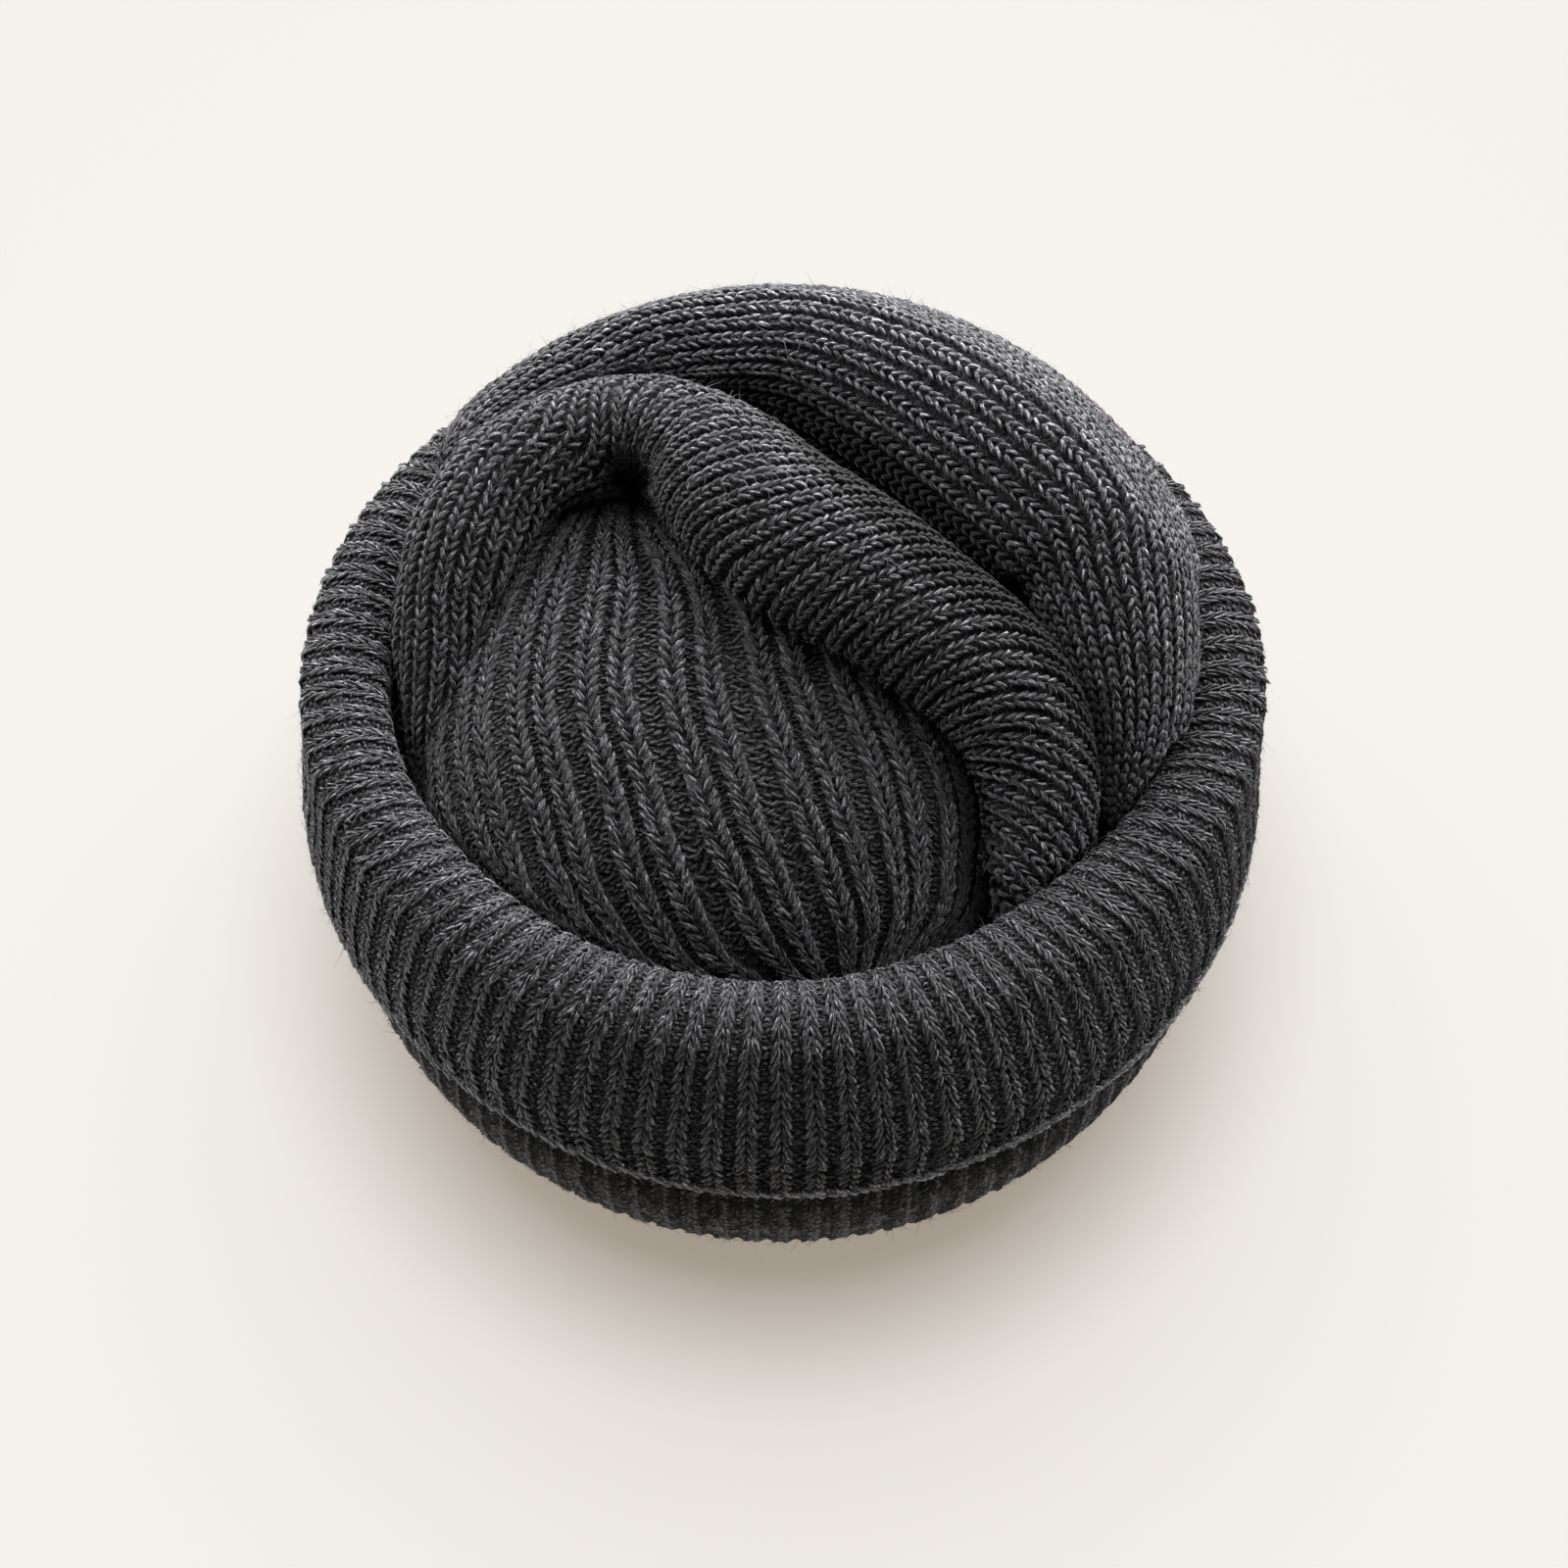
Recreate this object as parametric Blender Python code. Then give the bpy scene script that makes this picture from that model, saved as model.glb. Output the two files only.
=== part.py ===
"""A pair of thick rib-knit socks, rolled up together with one cuff turned over the roll.

The ball stands on the origin with +Z up, and lengths below are in millimetres from its middle.
Five solids are built: the bundle of hidden layers, the turned cuff, and the three stretches of
rolled cloth that show in the cuff's mouth. Ribs are raised in the outer points of each wall.
"""

import math
from collections import namedtuple

import bmesh
import bpy
import numpy as np

# ---------------------------------------------------------------- driving dimensions
MM = 0.001
BALL_RADIUS = 50.0
CENTRE_HEIGHT = 43.0  # of the ball's middle above its flat resting patch
GAP = 0.3  # between a roll or the cuff and the bundle under it
PRESS_GAP = 0.6  # asked of two rolls that press together; their flat faces leave less
CLOTH = 2.8
BUNDLE_TOP = 8.0

CHARCOAL = (0.045, 0.045, 0.05)
KNIT_ROUGHNESS = 0.92

# The cuff's outer face is a band on the ball from hem to BAND_TOP_ANGLE, then a rolled rim of
# radius tube through RIM_ANGLES, then a lip down to the bundle. Angles are in degrees.
CUFF_RIBS = 96
CUFF_RIB_HEIGHT = 0.8
BAND_TOP_ANGLE = 11.0
BAND_ROWS = 4
RIM_ANGLES = (28, 62, 98, 134, 170)
LIP_SLOPE = 0.6
INNER_ROWS = (0, 2, 5, 7, 9)  # rows of the outer face that the plain inside follows

Rim = namedtuple("Rim", "azimuth radius height tube hem")
RIM = [
    Rim(-180, 44.4, 15.5, 4.7, 0.5),
    Rim(-135, 41.6, 16.5, 5.2, 1.0),
    Rim(-90, 39.7, 16.0, 5.3, -1.0),
    Rim(-45, 40.4, 16.0, 5.3, -0.5),
    Rim(0, 45.0, 15.0, 4.6, -1.0),
    Rim(45, 43.5, 14.0, 4.5, -1.0),
    Rim(90, 42.5, 13.0, 4.5, -1.0),
    Rim(135, 43.5, 14.0, 4.5, 0.0),
]

# The bundle's outline from the resting patch up. ribbed is the share of CUFF_RIB_HEIGHT there.
Bundle = namedtuple("Bundle", "radius height ribbed")
BUNDLE = [
    Bundle(25.4, -43.0, 0.0),
    Bundle(31.6, -38.7, 0.6),
    Bundle(38.4, -32.0, 1.0),
    Bundle(43.3, -25.0, 1.0),
    Bundle(46.3, -19.0, 1.0),
    Bundle(47.6, -13.0, 1.0),
    Bundle(47.6, -7.0, 1.0),
    Bundle(46.8, -2.9, 0.6),
    Bundle(45.5, -2.0, 0.0),
    Bundle(44.4, BUNDLE_TOP, 0.0),
]

# Rolls are sections along a centre line, with the half width and the heights above and below it.
# A Slice faces its heading. A Section stands square to the line; its ring leans ahead by lean at
# the roll's left, and across is how far its ribs have turned from along the roll to across it.
Slice = namedtuple("Slice", "x y z half up down heading")
CORE = [
    Slice(-16.0, 26.0, 18.0, 1.5, 1.5, 1.5, 0),
    Slice(-18.0, 20.0, 16.0, 7.6, 6.5, 5.0, 0),
    Slice(-17.2, 13.6, 14.0, 13.6, 10.5, 5.0, 0),
    Slice(-14.2, 8.5, 12.5, 19.2, 13.5, 5.0, 1),
    Slice(-11.4, 3.4, 12.0, 23.9, 15.0, 5.0, 3),
    Slice(-9.3, -2.5, 12.0, 26.8, 15.5, 5.0, 5),
    Slice(-7.6, -9.6, 12.0, 28.2, 15.0, 5.0, 7),
    Slice(-5.0, -16.3, 12.0, 27.6, 13.5, 5.0, 10),
    Slice(-2.0, -22.3, 12.0, 25.0, 11.5, 5.0, 13),
    Slice(1.6, -27.4, 11.5, 20.0, 8.5, 4.0, 15),
    Slice(4.0, -31.4, 11.0, 14.5, 5.0, 3.0, 15),
    Slice(5.4, -34.2, 10.5, 7.0, 1.5, 1.5, 15),
]

Section = namedtuple("Section", "x y z half up down lean across")
MIDDLE = [
    Section(-36.8, -4.6, 10.5, 1.0, 1.0, 1.0, 0.0, 0.0),
    Section(-36.5, -2.6, 11.8, 2.6, 2.6, 2.6, 0.0, 0.0),
    Section(-35.7, -0.2, 13.6, 4.4, 4.6, 4.6, 0.0, 0.0),
    Section(-34.4, 3.6, 16.5, 5.5, 5.7, 6.0, 0.0, 0.0),
    Section(-33.3, 8.2, 19.5, 5.9, 6.2, 7.0, 0.0, 0.0),
    Section(-31.7, 12.7, 22.3, 6.4, 6.7, 8.0, 0.0, 0.0),
    Section(-28.6, 17.7, 24.6, 6.2, 6.4, 8.0, 0.0, 0.0),
    Section(-24.0, 20.7, 26.4, 5.9, 6.0, 8.0, 0.0, 0.0),
    Section(-18.8, 22.2, 27.8, 5.9, 5.9, 8.0, 0.0, 0.0),
    Section(-14.1, 22.4, 28.8, 5.6, 6.0, 8.0, 0.2, 0.1),
    Section(-9.4, 19.9, 29.5, 6.4, 6.5, 8.0, 1.4, 0.6),
    Section(-5.3, 15.7, 29.8, 7.7, 7.6, 8.5, 3.2, 1.0),
    Section(0.3, 9.6, 29.5, 8.5, 8.5, 9.0, 4.8, 1.0),
    Section(7.4, 5.0, 28.5, 8.4, 8.4, 9.0, 4.8, 1.0),
    Section(13.8, 1.1, 27.0, 7.6, 7.6, 8.5, 4.5, 1.0),
    Section(19.7, -3.2, 25.0, 7.2, 7.2, 8.0, 3.8, 1.0),
    Section(23.4, -7.3, 22.5, 6.8, 6.8, 7.0, 3.2, 1.0),
    Section(25.1, -11.9, 19.5, 6.3, 6.3, 6.5, 3.0, 1.0),
    Section(25.4, -15.8, 16.5, 6.1, 6.1, 6.1, 3.0, 1.0),
    Section(23.9, -20.6, 13.0, 6.2, 6.0, 5.6, 2.0, 1.0),
    Section(20.8, -25.0, 10.0, 2.5, 2.0, 2.0, 0.0, 1.0),
]
OUTER = [
    Section(-35.0, 23.6, 20.6, 1.0, 1.0, 1.0, 0.0, 0.0),
    Section(-32.6, 25.4, 21.2, 3.0, 3.0, 2.5, 0.0, 0.0),
    Section(-28.6, 27.8, 22.0, 4.6, 4.4, 5.0, 0.0, 0.0),
    Section(-24.2, 29.3, 22.8, 5.8, 5.7, 8.0, 0.0, 0.0),
    Section(-19.7, 30.6, 24.0, 6.7, 6.7, 10.0, 0.0, 0.0),
    Section(-13.1, 33.3, 26.0, 7.2, 7.2, 12.0, 0.0, 0.0),
    Section(-3.8, 33.9, 27.0, 7.6, 7.6, 14.0, 0.0, 0.0),
    Section(4.3, 32.3, 28.0, 8.8, 8.6, 16.0, 0.0, 0.0),
    Section(13.6, 27.6, 28.0, 10.4, 9.9, 18.0, 0.0, 0.0),
    Section(20.8, 22.6, 27.5, 11.3, 10.5, 18.0, 0.0, 0.0),
    Section(27.0, 17.1, 26.5, 11.2, 10.5, 17.0, 0.0, 0.0),
    Section(31.8, 11.8, 25.0, 10.2, 10.2, 16.0, 0.0, 0.0),
    Section(33.8, 5.8, 23.0, 8.3, 8.7, 14.0, 0.0, 0.0),
    Section(35.2, -0.6, 20.0, 6.8, 7.4, 11.0, 0.0, 0.0),
    Section(35.8, -6.7, 16.4, 5.2, 5.6, 6.0, 0.0, 0.0),
    Section(35.2, -11.4, 13.6, 3.4, 3.8, 3.4, 0.0, 0.0),
    Section(34.0, -14.6, 11.6, 1.2, 1.2, 1.2, 0.0, 0.0),
]

Ribs = namedtuple("Ribs", "low high count")
ROLL_RIB_HEIGHT = 0.8
CORE_RIBS = Ribs(-18.0, 198.0, 24)
CORE_RINGS = 14
OUTER_RIBS = Ribs(-45.0, 195.0, 16)
OUTER_RINGS = 30
MIDDLE_RIBS = Ribs(-30.0, 210.0, 10)
MIDDLE_TURN = 46.0  # length along the middle roll where its ribs begin to lie across it
MIDDLE_STEP = 3.2
MIDDLE_PITCH = 2.4
UNDER_POINTS = 6  # on the plain underside of a ring

# How finely a roll's line is measured, the sections taken when another is pressed against it, and
# the rounds of pressing. Points moved further than SETTLED_MOVE are evened out between rounds.
FINE = 400
TANGENT_STEP = 0.05
CHAIN = 80
RIM_CHAIN = 180
PRESSES = 4
SETTLES = 10
SETTLED_MOVE = 0.1
FADE_RINGS = 2


# ---------------------------------------------------------------- curves
def table_at(rows, at, period=None):
    """A table's columns at the row positions at, on a Catmull-Rom curve through its rows."""
    values = np.array(rows, float)
    count = len(values)
    at = np.asarray(at, float)
    low = np.floor(at).astype(int)
    if period is None:
        low = np.clip(low, 0, count - 2)
    share = (at - low)[:, None]
    picks = []
    for step in (-1, 0, 1, 2):
        index = low + step
        if period is None:
            picks.append(values[np.clip(index, 0, count - 1)])
        else:
            row = values[index % count].copy()
            row[:, 0] += index // count * period
            picks.append(row)
    a, b, c, d = picks
    return (
        b
        + 0.5 * share * (c - a)
        + share**2 * (a - 2.5 * b + 2.0 * c - 0.5 * d)
        + share**3 * (1.5 * (b - c) + 0.5 * (d - a))
    )


def rim_at(azimuth):
    """The RIM columns at azimuths in degrees."""
    spacing = RIM[1].azimuth - RIM[0].azimuth
    return table_at(RIM, (np.asarray(azimuth) - RIM[0].azimuth) / spacing, period=360)


Roll = namedtuple("Roll", "centre along side top half up down")


def length_of(table):
    """Table positions at FINE even steps, and the length of the centre line up to each."""
    fine = np.linspace(0, len(table) - 1, FINE)
    step = np.diff(table_at(table, fine)[:, :3], axis=0)
    return fine, np.concatenate([[0], np.cumsum(np.linalg.norm(step, axis=1))])


def roll_at(table, at=None):
    """A roll's centre line, frame and half sizes at given lengths along it, or at CHAIN even ones.

    A section stands square to the line, or faces its heading when the table gives one.
    """
    fine, length = length_of(table)
    if at is None:
        at = np.linspace(0, length[-1], CHAIN)
    where = np.interp(at, length, fine)
    rows = table_at(table, where)
    if isinstance(table[0], Slice):
        turn = np.radians(rows[:, 6])
        side = np.stack([np.cos(turn), np.sin(turn), 0 * turn], axis=1)
        top = np.tile([0.0, 0.0, 1.0], (len(rows), 1))
        along = np.cross(top, side)
    else:
        step = table_at(table, where + TANGENT_STEP) - table_at(table, where - TANGENT_STEP)
        along = step[:, :3] / np.linalg.norm(step[:, :3], axis=1)[:, None]
        side = np.stack([-along[:, 1], along[:, 0], 0 * where], axis=1)
        side /= np.linalg.norm(side, axis=1)[:, None]
        top = np.cross(along, side)
    return Roll(rows[:, :3], along, side, top, rows[:, 3], rows[:, 4], rows[:, 5])


def rim_roll():
    """The cuff's rim as a roll of RIM_CHAIN sections."""
    azimuth = np.linspace(-180, 180, RIM_CHAIN, endpoint=False)
    rim = rim_at(azimuth)
    turn = np.radians(azimuth)
    side = np.stack([np.cos(turn), np.sin(turn), 0 * turn], axis=1)
    top = np.tile([0.0, 0.0, 1.0], (RIM_CHAIN, 1))
    centre = side * rim[:, 1:2] + top * rim[:, 2:3]
    return Roll(centre, np.cross(top, side), side, top, rim[:, 3], rim[:, 3], rim[:, 3])


# ---------------------------------------------------------------- keeping pieces apart
def clear_of(points, roll):
    """Points moved out of a roll, which is taken as a chain of ellipsoids PRESS_GAP larger."""
    moved = points.copy()
    reach = np.minimum(roll.half, roll.up) + PRESS_GAP
    for _ in range(PRESSES):
        away = moved[:, None] - roll.centre[None]
        across = np.einsum("pck,ck->pc", away, roll.side) / (roll.half + PRESS_GAP)
        rise = np.einsum("pck,ck->pc", away, roll.top)
        rise /= np.where(rise > 0, roll.up, roll.down) + PRESS_GAP
        forward = np.einsum("pck,ck->pc", away, roll.along) / reach
        size = across**2 + rise**2 + forward**2
        nearest = size.argmin(axis=1)
        depth = np.sqrt(size[np.arange(len(moved)), nearest])
        inside = depth < 1
        if not inside.any():
            break
        centre = roll.centre[nearest[inside]]
        moved[inside] = centre + (moved[inside] - centre) / depth[inside, None]
    return moved


def in_ball(points):
    """Points kept inside the ball, inside the cuff's mouth and above the bundle."""
    size = np.linalg.norm(points, axis=-1)
    points = points * np.minimum(1, BALL_RADIUS / size)[..., None]
    azimuth = np.degrees(np.arctan2(points[..., 1], points[..., 0])).ravel()
    rim = rim_at(azimuth).reshape(*points.shape[:-1], len(Rim._fields))
    mouth = rim[..., 1] - rim[..., 3] - PRESS_GAP
    mouth = np.where(points[..., 2] < rim[..., 2], mouth, BALL_RADIUS)
    radius = np.linalg.norm(points[..., :2], axis=-1)
    points[..., :2] *= np.minimum(1, mouth / np.maximum(radius, 1))[..., None]
    points[..., 2] = np.maximum(points[..., 2], BUNDLE_TOP + GAP)
    return points


# ---------------------------------------------------------------- meshes
def knit(name):
    made = bpy.data.materials.new(name)
    made.use_nodes = True
    shader = made.node_tree.nodes["Principled BSDF"]
    shader.inputs["Base Color"].default_value = (*CHARCOAL, 1.0)
    shader.inputs["Roughness"].default_value = KNIT_ROUGHNESS
    return made


def ring_mesh(name, grid, closed=False):
    """A node from a grid of points (rows, columns, xyz), each row a ring.

    The last row joins the first when closed is set. Otherwise each end ring gets a cap.
    """
    rows, columns = grid.shape[:2]
    mesh = bmesh.new()
    points = [[mesh.verts.new(p * MM) for p in row] for row in grid]
    for i in range(rows if closed else rows - 1):
        first, second = points[i], points[(i + 1) % rows]
        for j in range(columns):
            k = (j + 1) % columns
            mesh.faces.new((first[j], first[k], second[k], second[j]))
    if not closed:
        for end, step in ((0, -1), (-1, 1)):
            centre = mesh.verts.new(grid[end].mean(axis=0) * MM)
            for j in range(columns):
                mesh.faces.new((points[end][j], points[end][(j + step) % columns], centre))
    if mesh.calc_volume(signed=True) < 0:
        bmesh.ops.reverse_faces(mesh, faces=mesh.faces)
    data = bpy.data.meshes.new(name)
    mesh.to_mesh(data)
    mesh.free()
    data.materials.append(knit(name + "_knit"))
    made = bpy.data.objects.new(name, data)
    made.location.z = CENTRE_HEIGHT * MM
    PARTS.objects.link(made)
    return made


def outward(profile):
    """Unit normals of an open profile of (radius, height) that runs upwards."""
    step = np.gradient(profile, axis=0)
    normal = np.stack([step[:, 1], -step[:, 0]], axis=1)
    return normal / np.linalg.norm(normal, axis=1)[:, None]


def turned(profile, azimuth):
    """Profile points turned to an azimuth about the ball's upright axis."""
    turn = math.radians(azimuth)
    radius, height = profile[:, 0], profile[:, 1]
    return np.stack([radius * math.cos(turn), radius * math.sin(turn), height], axis=1)


# ---------------------------------------------------------------- turned cloth
def cuff_profile(rim):
    """The cuff's outer face from the hem up over the rim and down inside the mouth."""
    _, radius, height, tube, hem = rim
    low = math.asin(hem / BALL_RADIUS)
    band = [
        (BALL_RADIUS * math.cos(a), BALL_RADIUS * math.sin(a))
        for a in np.linspace(low, math.radians(BAND_TOP_ANGLE), BAND_ROWS)
    ]
    turn = [(radius + tube * math.cos(a), height + tube * math.sin(a)) for a in np.radians(RIM_ANGLES)]
    lip = [(radius - tube + LIP_SLOPE, BUNDLE_TOP + GAP)]
    return np.array(band + turn + lip)


def build_cuff():
    around = []
    for j in range(2 * CUFF_RIBS):
        azimuth = -180 + 180 * j / CUFF_RIBS
        outer = cuff_profile(rim_at([azimuth])[0])
        normal = outward(outer)
        ribbed = outer - normal * CUFF_RIB_HEIGHT * (j % 2)
        plain = (outer - normal * (CLOTH + CUFF_RIB_HEIGHT))[list(INNER_ROWS)]
        around.append(turned(np.concatenate([ribbed, plain[::-1]]), azimuth))
    return ring_mesh("cuff", np.array(around).transpose(1, 0, 2), closed=True)


def build_bundle():
    profile = np.array([(row.radius, row.height) for row in BUNDLE])
    ribbed = np.array([row.ribbed for row in BUNDLE])[:, None]
    inward = outward(profile) * ribbed * CUFF_RIB_HEIGHT
    around = [
        turned(profile - inward * (j % 2), -180 + 180 * j / CUFF_RIBS) for j in range(2 * CUFF_RIBS)
    ]
    return ring_mesh("bundle", np.array(around).transpose(1, 0, 2))


# ---------------------------------------------------------------- rolled cloth
def ring_angles(ribs):
    """Angles of a ring's points, with two to a rib on its ribbed side, and 1 for each gutter."""
    top = np.linspace(ribs.low, ribs.high, 2 * ribs.count + 1)
    under = np.linspace(ribs.high, ribs.low + 360, UNDER_POINTS + 2)[1:-1]
    gutter = np.concatenate([np.arange(len(top)) % 2, np.zeros(UNDER_POINTS)])
    return np.concatenate([top, under]), gutter


def rings(table, at, angles):
    """Rings of a roll, (rings, points, xyz): a ring leans ahead at its side, behind opposite it."""
    fine, length = length_of(table)
    lean = np.zeros(len(at))
    if isinstance(table[0], Section):
        lean = table_at(table, np.interp(at, length, fine))[:, 6]
    cosine, sine = np.cos(np.radians(angles)), np.sin(np.radians(angles))
    found = []
    for start, ahead in zip(at, lean):
        roll = roll_at(table, np.clip(start + ahead * cosine, 0, length[-1]))
        tall = np.where(sine > 0, roll.up, roll.down)
        found.append(
            roll.centre
            + roll.side * (roll.half * cosine)[:, None]
            + roll.top * (tall * sine)[:, None]
        )
    return np.array(found)


def settled(grid, neighbours):
    """Rings moved clear of their neighbours and kept in the ball, evened out where they moved."""
    start = grid
    for turn in range(SETTLES):
        points = grid.reshape(-1, 3)
        for neighbour in neighbours:
            points = clear_of(points, neighbour)
        grid = in_ball(points).reshape(start.shape)
        if turn < SETTLES - 1:
            moved = np.linalg.norm(grid - start, axis=2) > SETTLED_MOVE
            moved[0] = moved[-1] = False
            around = (np.roll(grid, 1, axis=1) + np.roll(grid, -1, axis=1)) / 2
            forward = (np.roll(grid, 1, axis=0) + np.roll(grid, -1, axis=0)) / 2
            grid = np.where(moved[..., None], (2 * grid + around + forward) / 4, grid)
    return grid


def inwards(grid):
    """Unit directions into a grid of rings, square to its faces."""
    forward = np.gradient(grid, axis=0)
    around = (np.roll(grid, -1, axis=1) - np.roll(grid, 1, axis=1)) / 2
    normal = np.cross(around, forward)
    normal /= np.maximum(np.linalg.norm(normal, axis=2), 1e-9)[..., None]
    away = grid - grid.mean(axis=1, keepdims=True)
    return -normal * np.sign((normal * away).sum())


def ribbed(grid, gutter):
    """Rings kept in the ball, with gutters sunk between their ribs, fading out at both ends."""
    grid = in_ball(grid)
    row = np.arange(len(grid))
    fade = np.clip(np.minimum(row, row[::-1]) / FADE_RINGS, 0, 1)
    return grid + inwards(grid) * (gutter * fade[:, None] * ROLL_RIB_HEIGHT)[..., None]


def build_core():
    angles, gutter = ring_angles(CORE_RIBS)
    at = np.linspace(0, length_of(CORE)[1][-1], CORE_RINGS)
    grid = ribbed(rings(CORE, at, angles), gutter)
    return ring_mesh("core", settled(grid, [rim_roll()]))


def build_middle():
    angles, gutter = ring_angles(MIDDLE_RIBS)
    fine, length = length_of(MIDDLE)
    coarse = np.arange(0, MIDDLE_TURN, MIDDLE_STEP)
    close = np.arange(MIDDLE_TURN, length[-1] - MIDDLE_PITCH, MIDDLE_PITCH / 2)
    at = np.concatenate([coarse, close, length[-1:]])
    across = table_at(MIDDLE, np.interp(at, length, fine))[:, 7]
    row_gutter = np.where(at < MIDDLE_TURN, 0, (np.arange(len(at)) - len(coarse)) % 2)
    gutter = (1 - across)[:, None] * gutter + (across * row_gutter)[:, None]
    grid = ribbed(rings(MIDDLE, at, angles), gutter)
    return ring_mesh("middle_roll", settled(grid, [roll_at(CORE), rim_roll()]))


def build_outer():
    angles, gutter = ring_angles(OUTER_RIBS)
    at = np.linspace(0, length_of(OUTER)[1][-1], OUTER_RINGS)
    grid = ribbed(rings(OUTER, at, angles), gutter)
    return ring_mesh("outer_roll", settled(grid, [roll_at(CORE), roll_at(MIDDLE), rim_roll()]))


# ---------------------------------------------------------------- the pair of socks
for old in list(bpy.data.objects):
    bpy.data.objects.remove(old)
PARTS = bpy.data.collections.new("rolled_socks")
bpy.context.scene.collection.children.link(PARTS)

build_bundle()
build_cuff()
build_core()
build_middle()
build_outer()
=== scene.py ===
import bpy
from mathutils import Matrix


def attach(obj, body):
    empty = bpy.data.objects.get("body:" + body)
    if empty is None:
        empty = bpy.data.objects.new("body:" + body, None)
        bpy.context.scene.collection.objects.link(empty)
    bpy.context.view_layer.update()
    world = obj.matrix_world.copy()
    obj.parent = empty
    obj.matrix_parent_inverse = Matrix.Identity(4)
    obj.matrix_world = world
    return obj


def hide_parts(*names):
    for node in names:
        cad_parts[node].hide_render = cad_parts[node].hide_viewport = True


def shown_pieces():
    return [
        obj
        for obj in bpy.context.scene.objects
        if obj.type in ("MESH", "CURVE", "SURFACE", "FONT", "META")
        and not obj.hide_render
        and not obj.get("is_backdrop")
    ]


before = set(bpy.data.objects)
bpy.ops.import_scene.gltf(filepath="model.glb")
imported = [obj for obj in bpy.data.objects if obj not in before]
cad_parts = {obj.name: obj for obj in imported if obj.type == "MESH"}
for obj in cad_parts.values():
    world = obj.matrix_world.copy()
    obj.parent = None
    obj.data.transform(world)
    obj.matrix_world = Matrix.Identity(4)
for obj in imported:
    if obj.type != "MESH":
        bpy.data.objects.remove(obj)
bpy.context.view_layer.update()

import math
from collections import namedtuple

import bpy
import numpy as np
from mathutils import Vector

scene = bpy.context.scene

# ------------------------ the frame's own dimensions
# Lengths are in millimetres from the ball's middle and angles in degrees. The tables down to
# OUTER and the functions under "the frame's forms" repeat what is used here of the CAD model.
MM = 0.001
BALL_RADIUS = 50.0
CENTRE_HEIGHT = 43.0
GAP = 0.3
PRESS_GAP = 0.6
CLOTH = 2.8
BUNDLE_TOP = 8.0
CUFF_RIBS = 96
CUFF_COLUMNS = 2 * CUFF_RIBS
BAND_TOP_ANGLE = 11.0
BAND_ROWS = 4
RIM_ANGLES = (28, 62, 98, 134, 170)
LIP_SLOPE = 0.6

Rim = namedtuple("Rim", "azimuth radius height tube hem")
RIM = [
    Rim(-180, 44.4, 15.5, 4.7, 0.5),
    Rim(-135, 41.6, 16.5, 5.2, 1.0),
    Rim(-90, 39.7, 16.0, 5.3, -1.0),
    Rim(-45, 40.4, 16.0, 5.3, -0.5),
    Rim(0, 45.0, 15.0, 4.6, -1.0),
    Rim(45, 43.5, 14.0, 4.5, -1.0),
    Rim(90, 42.5, 13.0, 4.5, -1.0),
    Rim(135, 43.5, 14.0, 4.5, 0.0),
]

Bundle = namedtuple("Bundle", "radius height")
BUNDLE = [Bundle(*row) for row in [
    (25.4, -43.0),
    (31.6, -38.7),
    (38.4, -32.0),
    (43.3, -25.0),
    (46.3, -19.0),
    (47.6, -13.0),
    (47.6, -7.0),
    (46.8, -2.9),
    (45.5, -2.0),
    (44.4, BUNDLE_TOP),
]]

Slice = namedtuple("Slice", "x y z half up down heading")
CORE = [Slice(*row) for row in [
    (-16.0, 26.0, 18.0, 1.5, 1.5, 1.5, 0),
    (-18.0, 20.0, 16.0, 7.6, 6.5, 5.0, 0),
    (-17.2, 13.6, 14.0, 13.6, 10.5, 5.0, 0),
    (-14.2, 8.5, 12.5, 19.2, 13.5, 5.0, 1),
    (-11.4, 3.4, 12.0, 23.9, 15.0, 5.0, 3),
    (-9.3, -2.5, 12.0, 26.8, 15.5, 5.0, 5),
    (-7.6, -9.6, 12.0, 28.2, 15.0, 5.0, 7),
    (-5.0, -16.3, 12.0, 27.6, 13.5, 5.0, 10),
    (-2.0, -22.3, 12.0, 25.0, 11.5, 5.0, 13),
    (1.6, -27.4, 11.5, 20.0, 8.5, 4.0, 15),
    (4.0, -31.4, 11.0, 14.5, 5.0, 3.0, 15),
    (5.4, -34.2, 10.5, 7.0, 1.5, 1.5, 15),
]]

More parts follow.
